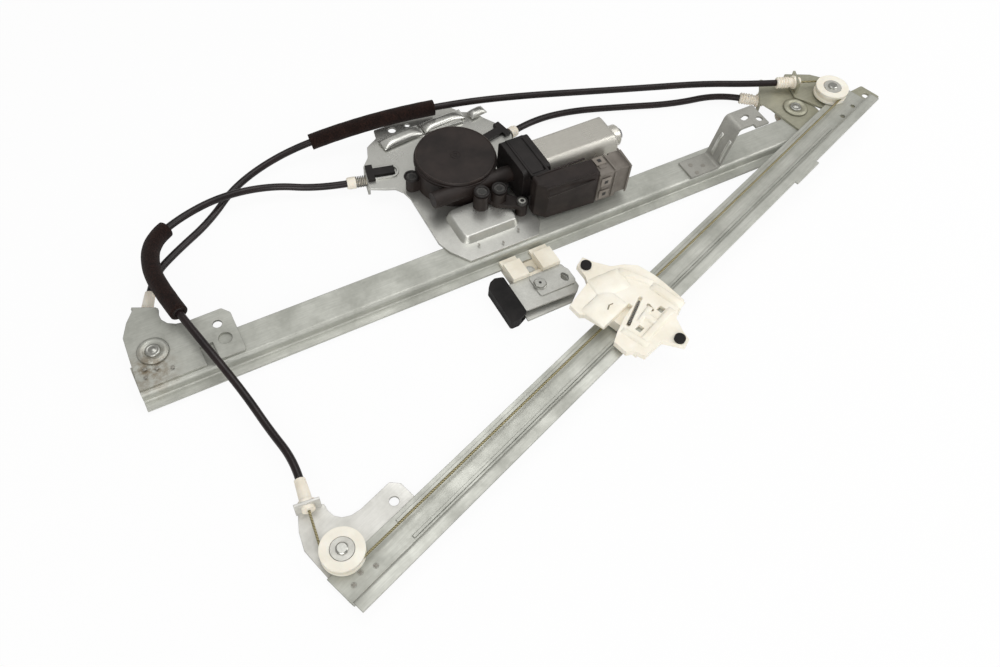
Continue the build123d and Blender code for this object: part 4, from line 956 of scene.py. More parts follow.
DRESS = {
    "rear_zinc": ("rear_rail", "rear_lower_plate"),
    "upper_zinc": ("rear_upper_plate", "front_upper_plate"),
    "front_zinc": ("front_rail",),
    "lower_zinc": ("front_lower_plate",),
    "plate_zinc": ("motor_plate",),
    "bracket_zinc": ("offset_bracket",),
    "clamp_zinc": ("clamp_plate", "clamp_seat"),
    "rivet_steel": ("pulley_rivets",),
    "bush_steel": ("pulley_bushes",),
    "can_steel": ("motor_can",),
    "screw_steel": ("clamp_screw", "drum_axle", "worm_shaft"),
    "motor_screws": ("motor_screws",),
    "wire_rope": ("rear_rail_cable", "left_drum_cable", "right_drum_cable", "front_link"),
    "greased_rope": ("front_rail_cable",),
    "spring_wire": ("tension_springs",),
    "pulley_nylon": ("rear_lower_pulley", "rear_upper_pulley", "front_lower_pulley", "front_upper_pulley"),
    "nipple_nylon": ("rear_lower_nipple", "rear_upper_nipple", "front_lower_nipple", "front_upper_nipple",
                     "left_spring_nipple", "right_spring_nipple"),
    "carrier_nylon": ("rear_slider",),
    "cream_acetal": ("front_slider",),
    "drum_acetal": ("cable_drum", "worm_wheel"),
    "brown_black": ("gear_housing", "gear_cover", "control_box"),
    "black_plastic": ("retaining_clips", "drum_case", "brush_holder"),
    "taupe_plastic": ("connector_shroud",),
    "moulded_rubber": ("glass_rubber", "front_buttons"),
    "carbon": ("carbon_brushes",),
    "ferrite": ("field_magnets",),
    "copper": ("commutator",),
    "core_steel": ("armature_core",),
    "bronze": ("rear_bearing",),
    "board": ("control_board",),
    "pin_metal": ("connector_pins",),
}


@dataclass
class Conduit:
    """One Bowden conduit: a smooth tube through its route's points, and the foam tube on it."""

    name: str
    points: list[Point]
    length: float
    radius: float = 0.003
    curve_steps: int = 12
    round_steps: int = 6
    foam_legs: tuple[int, int] | None = None
    foam_name: str = ""
    foam_radius: float = 0.007
    foam_bore: float = 0.45
    foam_loops: int = 90
    foam_sides: int = 28
    groove: float = 0.012
    groove_pace: float = 210.0
    dent: float = 0.0016
    dent_waves: int = 3
    dent_draws: int = 6
    dent_hold: int = 6
    dent_seed: int = 7

    def line(self, bevel: float) -> bpy.types.Object:
        """Make the spline through the route.

        Args:
            bevel: the tube's radius, or 0 for a bare line.

        Returns:
            The curve's object.
        """
        data = bpy.data.curves.new(self.name, "CURVE")
        data.dimensions = "3D"
        data.resolution_u = self.curve_steps
        data.bevel_depth = bevel
        data.bevel_resolution = self.round_steps
        data.use_fill_caps = True
        spline = data.splines.new("NURBS")
        spline.points.add(len(self.points) - 1)
        for control, place in zip(spline.points, self.points):
            control.co = (*place, 1.0)
        spline.order_u = 3
        spline.use_endpoint_u = True
        curve = bpy.data.objects.new(self.name, data)
        bpy.context.scene.collection.objects.link(curve)
        return curve

    def followed(self) -> np.ndarray:
        """Points read along the smooth spline.

        Returns:
            The points in metres.
        """
        bare = self.line(0.0)
        bpy.context.view_layer.update()
        graph = bpy.context.evaluated_depsgraph_get()
        mesh = bpy.data.meshes.new_from_object(bare.evaluated_get(graph))
        points = np.array([vertex.co[:] for vertex in mesh.vertices])
        bpy.data.objects.remove(bare)
        bpy.data.meshes.remove(mesh)
        return points

    def nearest(self, points: np.ndarray, reach: np.ndarray, leg: int) -> float:
        """How far along the smooth line the middle of one leg of the route lies.

        Args:
            points: points of the smooth line.
            reach: length along it at each point.
            leg: number of the leg's first point.

        Returns:
            The length in metres.
        """
        middle = (np.array(self.points[leg]) + np.array(self.points[leg + 1])) / 2
        return float(reach[np.argmin(np.linalg.norm(points - middle, axis=1))])

    def stretch(self) -> tuple[np.ndarray, np.ndarray]:
        """Centre line of the foam tube.

        Returns:
            How far along the conduit each loop lies, and the loops' centres.
        """
        points = self.followed()
        steps = np.linalg.norm(np.diff(points, axis=0), axis=1)
        reach = np.concatenate([[0.0], np.cumsum(steps)])
        start, end = (self.nearest(points, reach, leg) for leg in self.foam_legs)
        wanted = np.linspace(start, end, self.foam_loops)
        centre = np.stack([np.interp(wanted, reach, points[:, axis]) for axis in range(3)], axis=1)
        return wanted, centre

    def skin(self, wanted: np.ndarray, centre: np.ndarray) -> list[list[Vector]]:
        """Loops of the foam's skin, grooved along it and dented round it.

        Args:
            wanted: how far along the conduit each loop lies.
            centre: the loops' centres.

        Returns:
            The loops of points.
        """
        normal = Vector((0.0, 0.0, 1.0))
        rng = np.random.default_rng(self.dent_seed)
        ripple = rng.normal(0.0, 1.0, (self.foam_loops, self.dent_draws))
        rings = []
        for step in range(self.foam_loops):
            low, high = max(step - 1, 0), min(step + 1, self.foam_loops - 1)
            ahead = Vector(centre[high] - centre[low]).normalized()
            normal = (normal - ahead * normal.dot(ahead)).normalized()
            other = ahead.cross(normal)
            grooved = 1.0 - self.groove * abs(math.sin(wanted[step] * self.groove_pace))
            dents = ripple[step // self.dent_hold * self.dent_hold]
            ring = []
            for side in range(self.foam_sides):
                angle = 2 * math.pi * side / self.foam_sides
                wobble = sum(self.dent * dents[wave] * math.cos((wave + 2) * angle)
                             for wave in range(self.dent_waves))
                out = normal * math.cos(angle) + other * math.sin(angle)
                ring.append(Vector(centre[step]) + out * (self.foam_radius * (grooved + wobble)))
            rings.append(ring)
        return rings

    def foam(self, finish: bpy.types.Material) -> bpy.types.Object:
        """Make the foam tube on its stretch of the conduit.

        Args:
            finish: the foam's finish.

        Returns:
            The foam's object.
        """
        wanted, centre = self.stretch()
        rings = self.skin(wanted, centre)
        first, last = Vector(centre[0]), Vector(centre[-1])
        inner_start = [first + (v - first) * self.foam_bore for v in rings[0]]
        inner_end = [last + (v - last) * self.foam_bore for v in rings[-1]]
        deep_start = [v + (Vector(centre[2]) - first) for v in inner_start]
        deep_end = [v + (Vector(centre[-3]) - last) for v in inner_end]
        loops = [deep_start, inner_start, *rings, inner_end, deep_end]
        faces = MeshBuilder.walls(len(loops), self.foam_sides)
        faces.append(tuple(range(self.foam_sides)))
        closing = (len(loops) - 1) * self.foam_sides
        faces.append(tuple(range(closing + self.foam_sides - 1, closing - 1, -1)))
        verts = [v for loop in loops for v in loop]
        return MeshBuilder.object_from(self.foam_name + "_skin", verts, faces, finish)

    def build(self, finishes: Finishes) -> None:
        """Args:
            finishes: the object's finishes.
        """
        tube = self.line(self.radius)
        tube.name = self.name + "_tube"
        tube.data.materials.append(finishes.of("conduit_cover"))
        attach(tube, FRAME_BODY)
        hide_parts(self.name)
        if self.foam_legs:
            sleeve = self.foam(finishes.of("foam"))
            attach(sleeve, FRAME_BODY)
            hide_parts(self.foam_name)
        log.info("%s laid", self.name)


LEFT_ROUTE = [
    (0.147369, 0.094897, -0.0064), (0.123009, 0.100521, -0.0064), (0.0885, 0.118, -0.004),
    (0.0475, 0.121, 0.0), (0.0105, 0.113, 0.0005), (-0.0195, 0.095, 0.004),
    (-0.029, 0.063, 0.009), (-0.0255, 0.031, 0.0105), (-0.0185, -0.005, 0.0105),
    (-0.0095, -0.041, 0.005), (-0.0025, -0.069, -0.003), (0.002, -0.098, -0.0065),
    (0.00785, -0.129016, -0.004512), (0.005796, -0.144883, -0.004675),
]
LONG_ROUTE = [
    (0.561987, 0.026201, 0.008776), (0.537951, 0.036102, 0.008322), (0.4985, 0.0565, 0.007),
    (0.4425, 0.077, 0.006), (0.3865, 0.0955, 0.007), (0.3305, 0.1125, 0.0095),
    (0.2765, 0.127, 0.0105), (0.2205, 0.1365, 0.0105), (0.1645, 0.144, 0.006),
    (0.1105, 0.1489, -0.003), (0.0625, 0.137, -0.01), (0.0305, 0.109, -0.0115),
    (-0.0035, 0.09, -0.011), (-0.02743, 0.071906, -0.0085), (-0.03532, 0.055728, -0.0085),
]
RIGHT_ROUTE = [
    (0.313835, 0.092903, -0.0096), (0.335354, 0.097477, -0.0096), (0.3745, 0.094, -0.0105),
    (0.4205, 0.079, -0.011), (0.4705, 0.06, -0.0105), (0.515023, 0.051315, -0.0085),
    (0.532593, 0.038075, -0.0085),
]
CONDUITS = [
    Conduit("left_conduit", LEFT_ROUTE, 0.4221, foam_legs=(4, 7), foam_name="left_foam_sleeve"),
    Conduit("long_conduit", LONG_ROUTE, 0.6497, foam_legs=(6, 8), foam_name="long_foam_sleeve"),
    Conduit("right_conduit", RIGHT_ROUTE, 0.2298),
]


class Shape(Enum):
    """What one repeated small feature is."""

    PILLOW = "pressed_pillow"
    DISC = "disc"
    HEX = "hex"
    RING = "ring"
    BAR = "bar"
    SPRING = "spring"
    BELLOWS = "bellows"


@dataclass(frozen=True)
class Mark:
    """Place of one repeat: its foot, its length's and its height's direction, and its share of the sizes."""

    place: Vector
    along: Vector
    out: Vector
    share: Point = WHOLE

    @property
    def turn(self) -> Point:
        """The turns about the three axes that bring the shape to its place."""
        side = self.out.cross(self.along)
        return tuple(Matrix((self.along, side, self.out)).transposed().to_euler())


class RepeatTree:
    """Geometry Nodes tree that sets one shape on each point of a mesh."""

    FLAT = (Shape.BAR, Shape.HEX, Shape.DISC)
    HEX_SIDES = 6
    DISC_SIDES = 32
    RING_STEPS = 48
    RING_SIDES = 10
    SPRING_STEPS = 20
    SPRING_SIDES = 8
    BELLOWS_STEPS = 64
    BELLOWS_SIDES = 28
    BELLOWS_DEPTH = 0.22
    BELLOWS_FLOOR = 0.78
    PILLOW_STEPS = 19
    PILLOW_FOOT = 0.0002
    PILLOW_POWER = 4.0

    def __init__(self, shape: Shape, finish: bpy.types.Material) -> None:
        """Build the tree.

        Args:
            shape: the repeated shape.
            finish: its finish.
        """
        self.shape = shape
        self.tree = bpy.data.node_groups.new("repeat_" + shape.value, "GeometryNodeTree")
        face = self.tree.interface
        face.new_socket("Points", in_out="INPUT", socket_type="NodeSocketGeometry")
        for label in ("Length", "Width", "Height"):
            face.new_socket(label, in_out="INPUT", socket_type="NodeSocketFloat")
        face.new_socket("Turns", in_out="INPUT", socket_type="NodeSocketInt")
        face.new_socket("Mesh", in_out="OUTPUT", socket_type="NodeSocketGeometry")
        self.start = self.add("NodeGroupInput")
        angles = self.add("FunctionNodeEulerToRotation")
        self.join(self.attribute("turn"), angles.inputs["Euler"])
        place = self.add("GeometryNodeInstanceOnPoints")
        self.join(self.start.outputs["Points"], place.inputs["Points"])
        self.join(self.profile(), place.inputs["Instance"])
        self.join(angles.outputs["Rotation"], place.inputs["Rotation"])
        self.join(self.attribute("share"), place.inputs["Scale"])
        real = self.add("GeometryNodeRealizeInstances")
        self.join(place.outputs["Instances"], real.inputs["Geometry"])
        smooth = self.add("GeometryNodeSetShadeSmooth")
        smooth.inputs["Shade Smooth"].default_value = shape not in self.FLAT
        self.join(real.outputs["Geometry"], smooth.inputs["Geometry"])
        dress = self.add("GeometryNodeSetMaterial")
        dress.inputs["Material"].default_value = finish
        self.join(smooth.outputs["Geometry"], dress.inputs["Geometry"])
        self.join(dress.outputs["Geometry"], self.add("NodeGroupOutput").inputs["Mesh"])

    def add(self, kind: str, **settings: object) -> bpy.types.Node:
        """Add a node.

        Args:
            kind: the node's type.
            settings: its own settings.

        Returns:
            The node.
        """
        node = self.tree.nodes.new(kind)
        for key, value in settings.items():
            setattr(node, key, value)
        return node

    def join(self, source: Socket, target: Socket) -> None:
        """Link an output socket to an input socket."""
        self.tree.links.new(source, target)

    def attribute(self, name: str) -> Socket:
        """A named vector attribute of the points.

        Args:
            name: the attribute's name.

        Returns:
            Its socket.
        """
        node = self.add("GeometryNodeInputNamedAttribute", data_type="FLOAT_VECTOR")
        node.inputs["Name"].default_value = name
        return node.outputs["Attribute"]

    def feed(self, node: bpy.types.Node, *values: Value) -> None:
        """Fill a node's first inputs.

        Args:
            node: the node.
            values: a socket or a number for each input.
        """
        for socket, value in zip(node.inputs, values):
            if isinstance(value, (int, float)):
                socket.default_value = value
            else:
                self.join(value, socket)

    def math(self, operation: str, first: Value, second: Value = 0.0) -> Socket:
        """Combine two values, each a socket or a number.

        Args:
            operation: the operation's name.
            first: the first value.
            second: the second value, where the operation has one.

        Returns:
            The result's socket.
        """
        node = self.add("ShaderNodeMath", operation=operation)
        self.feed(node, first, second)
        return node.outputs["Value"]

    def size(self, label: str) -> Socket:
        """A named size of the tree."""
        return self.start.outputs[label]

    def half(self, label: str) -> Socket:
        """Half of a named size of the tree."""
        return self.math("MULTIPLY", self.size(label), 0.5)

    def vector(self, x: Value, y: Value, z: Value) -> Socket:
        """Join three values into a vector.

        Args:
            x: socket or number along x.
            y: socket or number along y.
            z: socket or number along z.

        Returns:
            The vector's socket.
        """
        node = self.add("ShaderNodeCombineXYZ")
        self.feed(node, x, y, z)
        return node.outputs["Vector"]

    def lifted(self, mesh: Socket) -> Socket:
        """Raise a mesh by half of the shape's height, so that it stands on its place.

        Args:
            mesh: the mesh's socket.

        Returns:
            The raised mesh's socket.
        """
        node = self.add("GeometryNodeTransform")
        self.join(mesh, node.inputs["Geometry"])
        self.join(self.vector(0.0, 0.0, self.half("Height")), node.inputs["Translation"])
        return node.outputs["Geometry"]

    def wrapped(self, line: Socket, radius: Socket, sides: int, growth: Socket | None = None) -> Socket:
        """Sweep a circle along a curve.

        Args:
            line: the curve's socket.
            radius: the circle's radius.
            sides: points round the circle.
            growth: factor along the curve, where it isn't 1.

        Returns:
            The mesh's socket.
        """
        circle = self.add("GeometryNodeCurvePrimitiveCircle")
        circle.inputs["Resolution"].default_value = sides
        self.join(radius, circle.inputs["Radius"])
        if growth is not None:
            swell = self.add("GeometryNodeSetCurveRadius")
            self.join(line, swell.inputs["Curve"])
            self.join(growth, swell.inputs["Radius"])
            line = swell.outputs["Curve"]
        sweep = self.add("GeometryNodeCurveToMesh")
        self.join(line, sweep.inputs["Curve"])
        self.join(circle.outputs["Curve"], sweep.inputs["Profile Curve"])
        sweep.inputs["Fill Caps"].default_value = True
        if growth is not None and "Scale" in sweep.inputs:
            self.join(growth, sweep.inputs["Scale"])
        return sweep.outputs["Mesh"]

    def falloff(self, value: Socket, span: Socket) -> Socket:
        """Flat-topped slope of a pressed form: 1 - (2x / span) to a high power.

        Args:
            value: place along the axis.
            span: the form's size along it.

        Returns:
            The slope's socket, 1 in the middle and 0 at both ends.
        """
        share = self.math("DIVIDE", self.math("MULTIPLY", value, 2.0), span)
        return self.math("SUBTRACT", 1.0, self.math("POWER", self.math("ABSOLUTE", share), self.PILLOW_POWER))

    def bar(self) -> Socket:
        """Block of the tree's length, width and height.

        Returns:
            The mesh's socket.
        """
        length, width, height = (self.size(label) for label in ("Length", "Width", "Height"))
        cube = self.add("GeometryNodeMeshCube")
        self.join(self.vector(length, width, height), cube.inputs["Size"])
        return self.lifted(cube.outputs["Mesh"])

    def disc(self) -> Socket:
        """Round disc or hexagon, the tree's length across.

        Returns:
            The mesh's socket.
        """
        disc = self.add("GeometryNodeMeshCylinder")
        sides = self.HEX_SIDES if self.shape is Shape.HEX else self.DISC_SIDES
        disc.inputs["Vertices"].default_value = sides
        self.join(self.half("Length"), disc.inputs["Radius"])
        self.join(self.size("Height"), disc.inputs["Depth"])
        return self.lifted(disc.outputs["Mesh"])

    def ring(self) -> Socket:
        """Ring of the tree's length, measured through its tube's middle, and the tube of its width.

        Returns:
            The mesh's socket.
        """
        circle = self.add("GeometryNodeCurvePrimitiveCircle")
        circle.inputs["Resolution"].default_value = self.RING_STEPS
        self.join(self.half("Length"), circle.inputs["Radius"])
        return self.wrapped(circle.outputs["Curve"], self.half("Width"), self.RING_SIDES)

    def spring(self) -> Socket:
        """Coil of the tree's length across, its wire of the tree's width.

        Returns:
            The mesh's socket.
        """
        spiral = self.add("GeometryNodeCurveSpiral")
        spiral.inputs["Resolution"].default_value = self.SPRING_STEPS
        self.join(self.size("Turns"), spiral.inputs["Rotations"])
        for label in ("Start Radius", "End Radius"):
            self.join(self.half("Length"), spiral.inputs[label])
        self.join(self.size("Height"), spiral.inputs["Height"])
        return self.wrapped(spiral.outputs["Curve"], self.half("Width"), self.SPRING_SIDES)

    def bellows(self) -> Socket:
        """Ringed sleeve, its rings given by the tree's turns.

        Returns:
            The mesh's socket.
        """
        line = self.add("GeometryNodeCurvePrimitiveLine")
        self.join(self.vector(0.0, 0.0, self.size("Height")), line.inputs["End"])
        fine = self.add("GeometryNodeResampleCurve")
        fine.inputs["Count"].default_value = self.BELLOWS_STEPS
        self.join(line.outputs["Curve"], fine.inputs["Curve"])
        along = self.add("GeometryNodeSplineParameter").outputs["Factor"]
        phase = self.math("MULTIPLY", along, self.math("MULTIPLY", self.size("Turns"), math.pi))
        ridge = self.math("ABSOLUTE", self.math("SINE", phase))
        growth = self.math("ADD", self.math("MULTIPLY", ridge, self.BELLOWS_DEPTH), self.BELLOWS_FLOOR)
        return self.wrapped(fine.outputs["Curve"], self.half("Length"), self.BELLOWS_SIDES, growth)

    def pillow(self) -> Socket:
        """Pressed form on a thin closed foot, flat-topped and sloping to its edges.

        Returns:
            The mesh's socket.
        """
        length, width = self.size("Length"), self.size("Width")
        grid = self.add("GeometryNodeMeshCube")
        self.join(self.vector(length, width, self.PILLOW_FOOT), grid.inputs["Size"])
        for label in ("Vertices X", "Vertices Y"):
            grid.inputs[label].default_value = self.PILLOW_STEPS
        parts = self.add("ShaderNodeSeparateXYZ")
        self.join(self.add("GeometryNodeInputPosition").outputs["Position"], parts.inputs["Vector"])
        slope = self.math("MULTIPLY", self.falloff(parts.outputs["X"], length),
                          self.falloff(parts.outputs["Y"], width))
        upper = self.math("GREATER_THAN", parts.outputs["Z"], 0.0)
        rise = self.math("MULTIPLY", self.math("MULTIPLY", slope, self.size("Height")), upper)
        sunk = self.math("SUBTRACT", rise, self.PILLOW_FOOT / 2)
        move = self.add("GeometryNodeSetPosition")
        self.join(grid.outputs["Mesh"], move.inputs["Geometry"])
        self.join(self.vector(0.0, 0.0, sunk), move.inputs["Offset"])
        return move.outputs["Geometry"]

    def profile(self) -> Socket:
        """The repeated shape at its own origin, its height along z.

        Returns:
            The geometry's socket.
        """
        shapes = {
            Shape.BAR: self.bar, Shape.DISC: self.disc, Shape.HEX: self.disc, Shape.RING: self.ring,
            Shape.SPRING: self.spring, Shape.BELLOWS: self.bellows, Shape.PILLOW: self.pillow,
        }
        return shapes[self.shape]()

    def lay(self, name: str, marks: list[Mark], sizes: dict[str, float], body: str,
            slot: str) -> bpy.types.Object:
        """Args:
            name: the piece's name.
            marks: the places.
            sizes: the tree's named sizes, in metres, and its turns.
            body: body that it rides on.
            slot: its material slot; not used.

        Returns:
            The piece, one plain mesh.
        """
        mesh = bpy.data.meshes.new(name + "_points")
        mesh.from_pydata([tuple(mark.place) for mark in marks], [], [])
        for label in ("turn", "share"):
            layer = mesh.attributes.new(label, "FLOAT_VECTOR", "POINT")
            layer.data.foreach_set("vector", [value for mark in marks for value in getattr(mark, label)])
        holder = bpy.data.objects.new(name + "_points", mesh)
        bpy.context.scene.collection.objects.link(holder)
        modifier = holder.modifiers.new("repeat", "NODES")
        modifier.node_group = self.tree
        for socket in self.tree.interface.items_tree:
            if socket.in_out == "INPUT" and socket.name in sizes:
                modifier[socket.identifier] = sizes[socket.name]
        bpy.context.view_layer.update()
        graph = bpy.context.evaluated_depsgraph_get()
        made = bpy.data.meshes.new_from_object(holder.evaluated_get(graph))
        bpy.data.objects.remove(holder)
        for label in ("turn", "share"):
            if label in made.attributes:
                made.attributes.remove(made.attributes[label])
        piece = bpy.data.objects.new(name, made)
        bpy.context.scene.collection.objects.link(piece)
        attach(piece, body)
        log.info("%s: %d repeats, %d faces", name, len(marks), len(made.polygons))
        return piece


@dataclass(frozen=True)
class Feature:
    """One piece made of repeats: its shape, finish and slot, its sizes in metres, and its body."""

    name: str
    shape: Shape
    finish: str
    slot: str
    length: float
    width: float
    height: float
    turns: int = 0
    body: str = FRAME_BODY

    def lay(self, marks: list[Mark], finishes: Finishes) -> bpy.types.Object:
        """Make the piece.

        Args:
            marks: the repeats' places.
            finishes: the object's finishes.

        Returns:
            The piece, one plain mesh.
        """
        sizes = {"Length": self.length, "Width": self.width, "Height": self.height}
        if self.turns:
            sizes["Turns"] = self.turns
        tree = RepeatTree(self.shape, finishes.of(self.finish))
        return tree.lay(self.name, marks, sizes, self.body, self.slot)


def rear_mark(u: float, v: float, up: float, heading: float = 0.0, share: Point = WHOLE) -> Mark:
    """Mark on the rear rail's side of the part, in millimetres above the plates' face.

    Args:
        u: along the rail.
        v: across the rail.
        up: above the plates' outer face.
        heading: turn of the shape's length from the rail, in degrees.
        share: share of the tree's sizes.

    Returns:
        The mark.
    """
    return Mark(REAR.spot(u, v, -up), REAR.heading(heading), REAR.up, share)


def wall_mark(u: float, v: float, up: float, along: Vector = REAR.along, share: Point = WHOLE) -> Mark:
    """Mark on a wall of the drive that faces away from the motor's round cover.

    Args:
        u: along the rear rail.
        v: across the rear rail.
        up: above the plates' outer face.
        along: direction of the shape's length.
        share: share of the tree's sizes.

    Returns:
        The mark.
    """
    return Mark(REAR.spot(u, v, -up), along, -REAR.across, share)


def front_mark(u: float, v: float, up: float, heading: float = 0.0, share: Point = WHOLE) -> Mark:
    """Mark on the front rail's side of the part, in millimetres above the plates' outer face.

    Args:
        u: along the rail.
        v: across the rail.
        up: above the plates' outer face.
        heading: turn of the shape's length from the rail, in degrees.
        share: share of the tree's sizes.

    Returns:
        The mark.
    """
    return Mark(FRONT.spot(u, v, up), FRONT.heading(heading), FRONT.up, share)


def shared(mark: Mark, share: Point) -> Mark:
    """The same mark with another share of the sizes."""
    return replace(mark, share=share)


@dataclass
class PlateDetails:
    """Spot-weld dimples, pressed rings round the rivets and the motor plate's pressed forms."""

    rear_welds: tuple[Pair, ...] = ((-10.0, -12.8), (-2.2, -15.8), (8.2, -20.0), (-11.4, -19.7))
    rear_weld_up: float = 1.25
    rear_weld_turn: float = 40.0
    rear_weld_loss: float = 0.12
    rear_weld_width: float = 0.8
    motor_welds: tuple[Pair, ...] = ((263.2, -17.0), (282.4, -23.5), (300.3, -17.0))
    motor_weld_up: float = 2.0
    motor_weld_share: Point = (0.8, 0.45, 0.5)
    front_welds: tuple[Pair, ...] = ((-9.6, -20.5), (-0.9, -17.5), (9.2, -21.5))
    ray_up: float = 40.0
    dimples: Feature = Feature("weld_dimples", Shape.RING, "weld_mark", "plate_steel", 0.0038, 0.0003, 0.0003)
    centres: Feature = Feature("weld_centres", Shape.PILLOW, "weld_mark", "plate_steel", 0.0026, 0.0026,
                               0.00015)
    bosses: tuple[tuple[str, float, str], ...] = (("lower_boss", 0.0, "rear_zinc"),
                                                  ("upper_boss", 615.0, "upper_zinc"))
    boss_up: float = 1.2
    boss_steps: int = 56
    boss_form: tuple[Pair, ...] = (
        (-0.0002, 0.0118), (0.0001, 0.0112), (0.001, 0.0101), (0.0013, 0.0093), (0.0013, 0.0081),
        (0.0008, 0.0071), (0.0003, 0.0064), (0.0003, 0.0048), (-0.0002, 0.0048), (-0.0002, 0.0118),
    )
    head_steps: int = 40
    head_form: tuple[Pair, ...] = (
        (0.0001, 0.0), (0.0001, 0.0058), (0.0009, 0.0056), (0.0014, 0.005), (0.0014, 0.004), (0.0011, 0.0034),
        (0.0013, 0.0026), (0.002, 0.0016), (0.0022, 0.0),
    )
    rib_spots: tuple[Point, ...] = ((440.0, -17.5, 15.0), (440.0, -28.5, 15.0))
    # The bracket's ribs are raised forms; their pressed zinc is paler and shinier than the bracket's own, a
    # painted highlight along them.
    ribs: Feature = Feature("bracket_ribs", Shape.PILLOW, "pressed_zinc", "bracket_steel", 0.025, 0.0036,
                            0.0019)
    foot_welds: tuple[Pair, ...] = ((478.0, -18.0), (478.0, -28.0), (488.0, -23.0))
    foot_marks: Feature = Feature("bracket_welds", Shape.DISC, "weld_mark", "bracket_steel", 0.004, 0.004,
                                  0.00025)
    pillows: tuple[tuple[float, float, float, Point], ...] = (
        (259.5, 121.0, 6.0, (1.0, 1.0, 1.0)),
        (302.0, 124.0, 4.0, (1.05, 0.95, 1.0)),
        (335.5, 121.0, 8.0, (0.42, 0.8, 1.0)),
    )
    pillow_up: float = 1.9
    forms: Feature = Feature("plate_pillows", Shape.PILLOW, "pressed_zinc", "plate_steel", 0.04, 0.0125, 0.0034)

    @staticmethod
    def landed(name: str, start: Vector, towards: Vector, side: Vector) -> list[Mark]:
        """Find where a ray meets a solid's skin.

        Args:
            name: the solid's name.
            start: where the ray starts.
            towards: the ray's direction.
            side: direction across the mark's length.

        Returns:
            One mark on the skin, or none where the ray misses.
        """
        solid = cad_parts[name]
        inverse = solid.matrix_world.inverted()
        hit, spot, normal, _ = solid.ray_cast(inverse @ start, inverse.to_3x3() @ towards)
        if not hit:
            return []
        out = (solid.matrix_world.to_3x3() @ normal).normalized()
        along = side.cross(out).normalized()
        return [Mark(solid.matrix_world @ spot, along, out)]

    def welds(self) -> list[Mark]:
        """Places of the spot welds on the plates and the front rail.

        Returns:
            The marks.
        """
        marks = [rear_mark(u, v, self.rear_weld_up, self.rear_weld_turn * number,
                           (1.0 - self.rear_weld_loss * number, self.rear_weld_width, 1.0))
                 for number, (u, v) in enumerate(self.rear_welds)]
        marks += [rear_mark(u, v, self.motor_weld_up, ACROSS, self.motor_weld_share)
                  for u, v in self.motor_welds]
        for u, v in self.front_welds:
            marks += self.landed("front_rail", FRONT.spot(u, v, self.ray_up), -FRONT.up, FRONT.across)
        return marks

    def riveted(self, finishes: Finishes) -> None:
        """Make the pressed ring and the rivet's head at both ends of the rear rail.

        Args:
            finishes: the object's finishes.
        """
        for name, u, steel in self.bosses:
            foot = REAR.spot(u, 0.0, -self.boss_up)
            verts, faces = MeshBuilder.lathe(foot, REAR.up, self.boss_form, self.boss_steps)
            boss = MeshBuilder.object_from(name, verts, faces, finishes.of(steel))
            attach(boss, FRAME_BODY)
            verts, faces = MeshBuilder.lathe(foot, REAR.up, self.head_form, self.head_steps)
            head = MeshBuilder.object_from(name + "_rivet", verts, faces, finishes.of("rivet_steel"))
            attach(head, FRAME_BODY)

    def bracket(self, finishes: Finishes) -> None:
        """Make the offset bracket's pressed ribs, set on its surface, and its foot's welds.

        Args:
            finishes: the object's finishes.
        """
        marks = []
        for u, v, up in self.rib_spots:
            marks += self.landed("offset_bracket", REAR.spot(u, v, -up), REAR.along, REAR.across)
        self.ribs.lay(marks, finishes)
        self.foot_marks.lay([rear_mark(u, v, 0.0) for u, v in self.foot_welds], finishes)

    def build(self, finishes: Finishes) -> None:
        """Make the marks of both rails' plates.

        Args:
            finishes: the object's finishes.
        """
        welds = self.welds()
        self.dimples.lay(welds, finishes)
        self.centres.lay(welds, finishes)
        self.riveted(finishes)
        self.bracket(finishes)
        marks = [rear_mark(u, v, self.pillow_up, heading, share) for u, v, heading, share in self.pillows]
        self.forms.lay(marks, finishes)
        log.info("plates detailed")


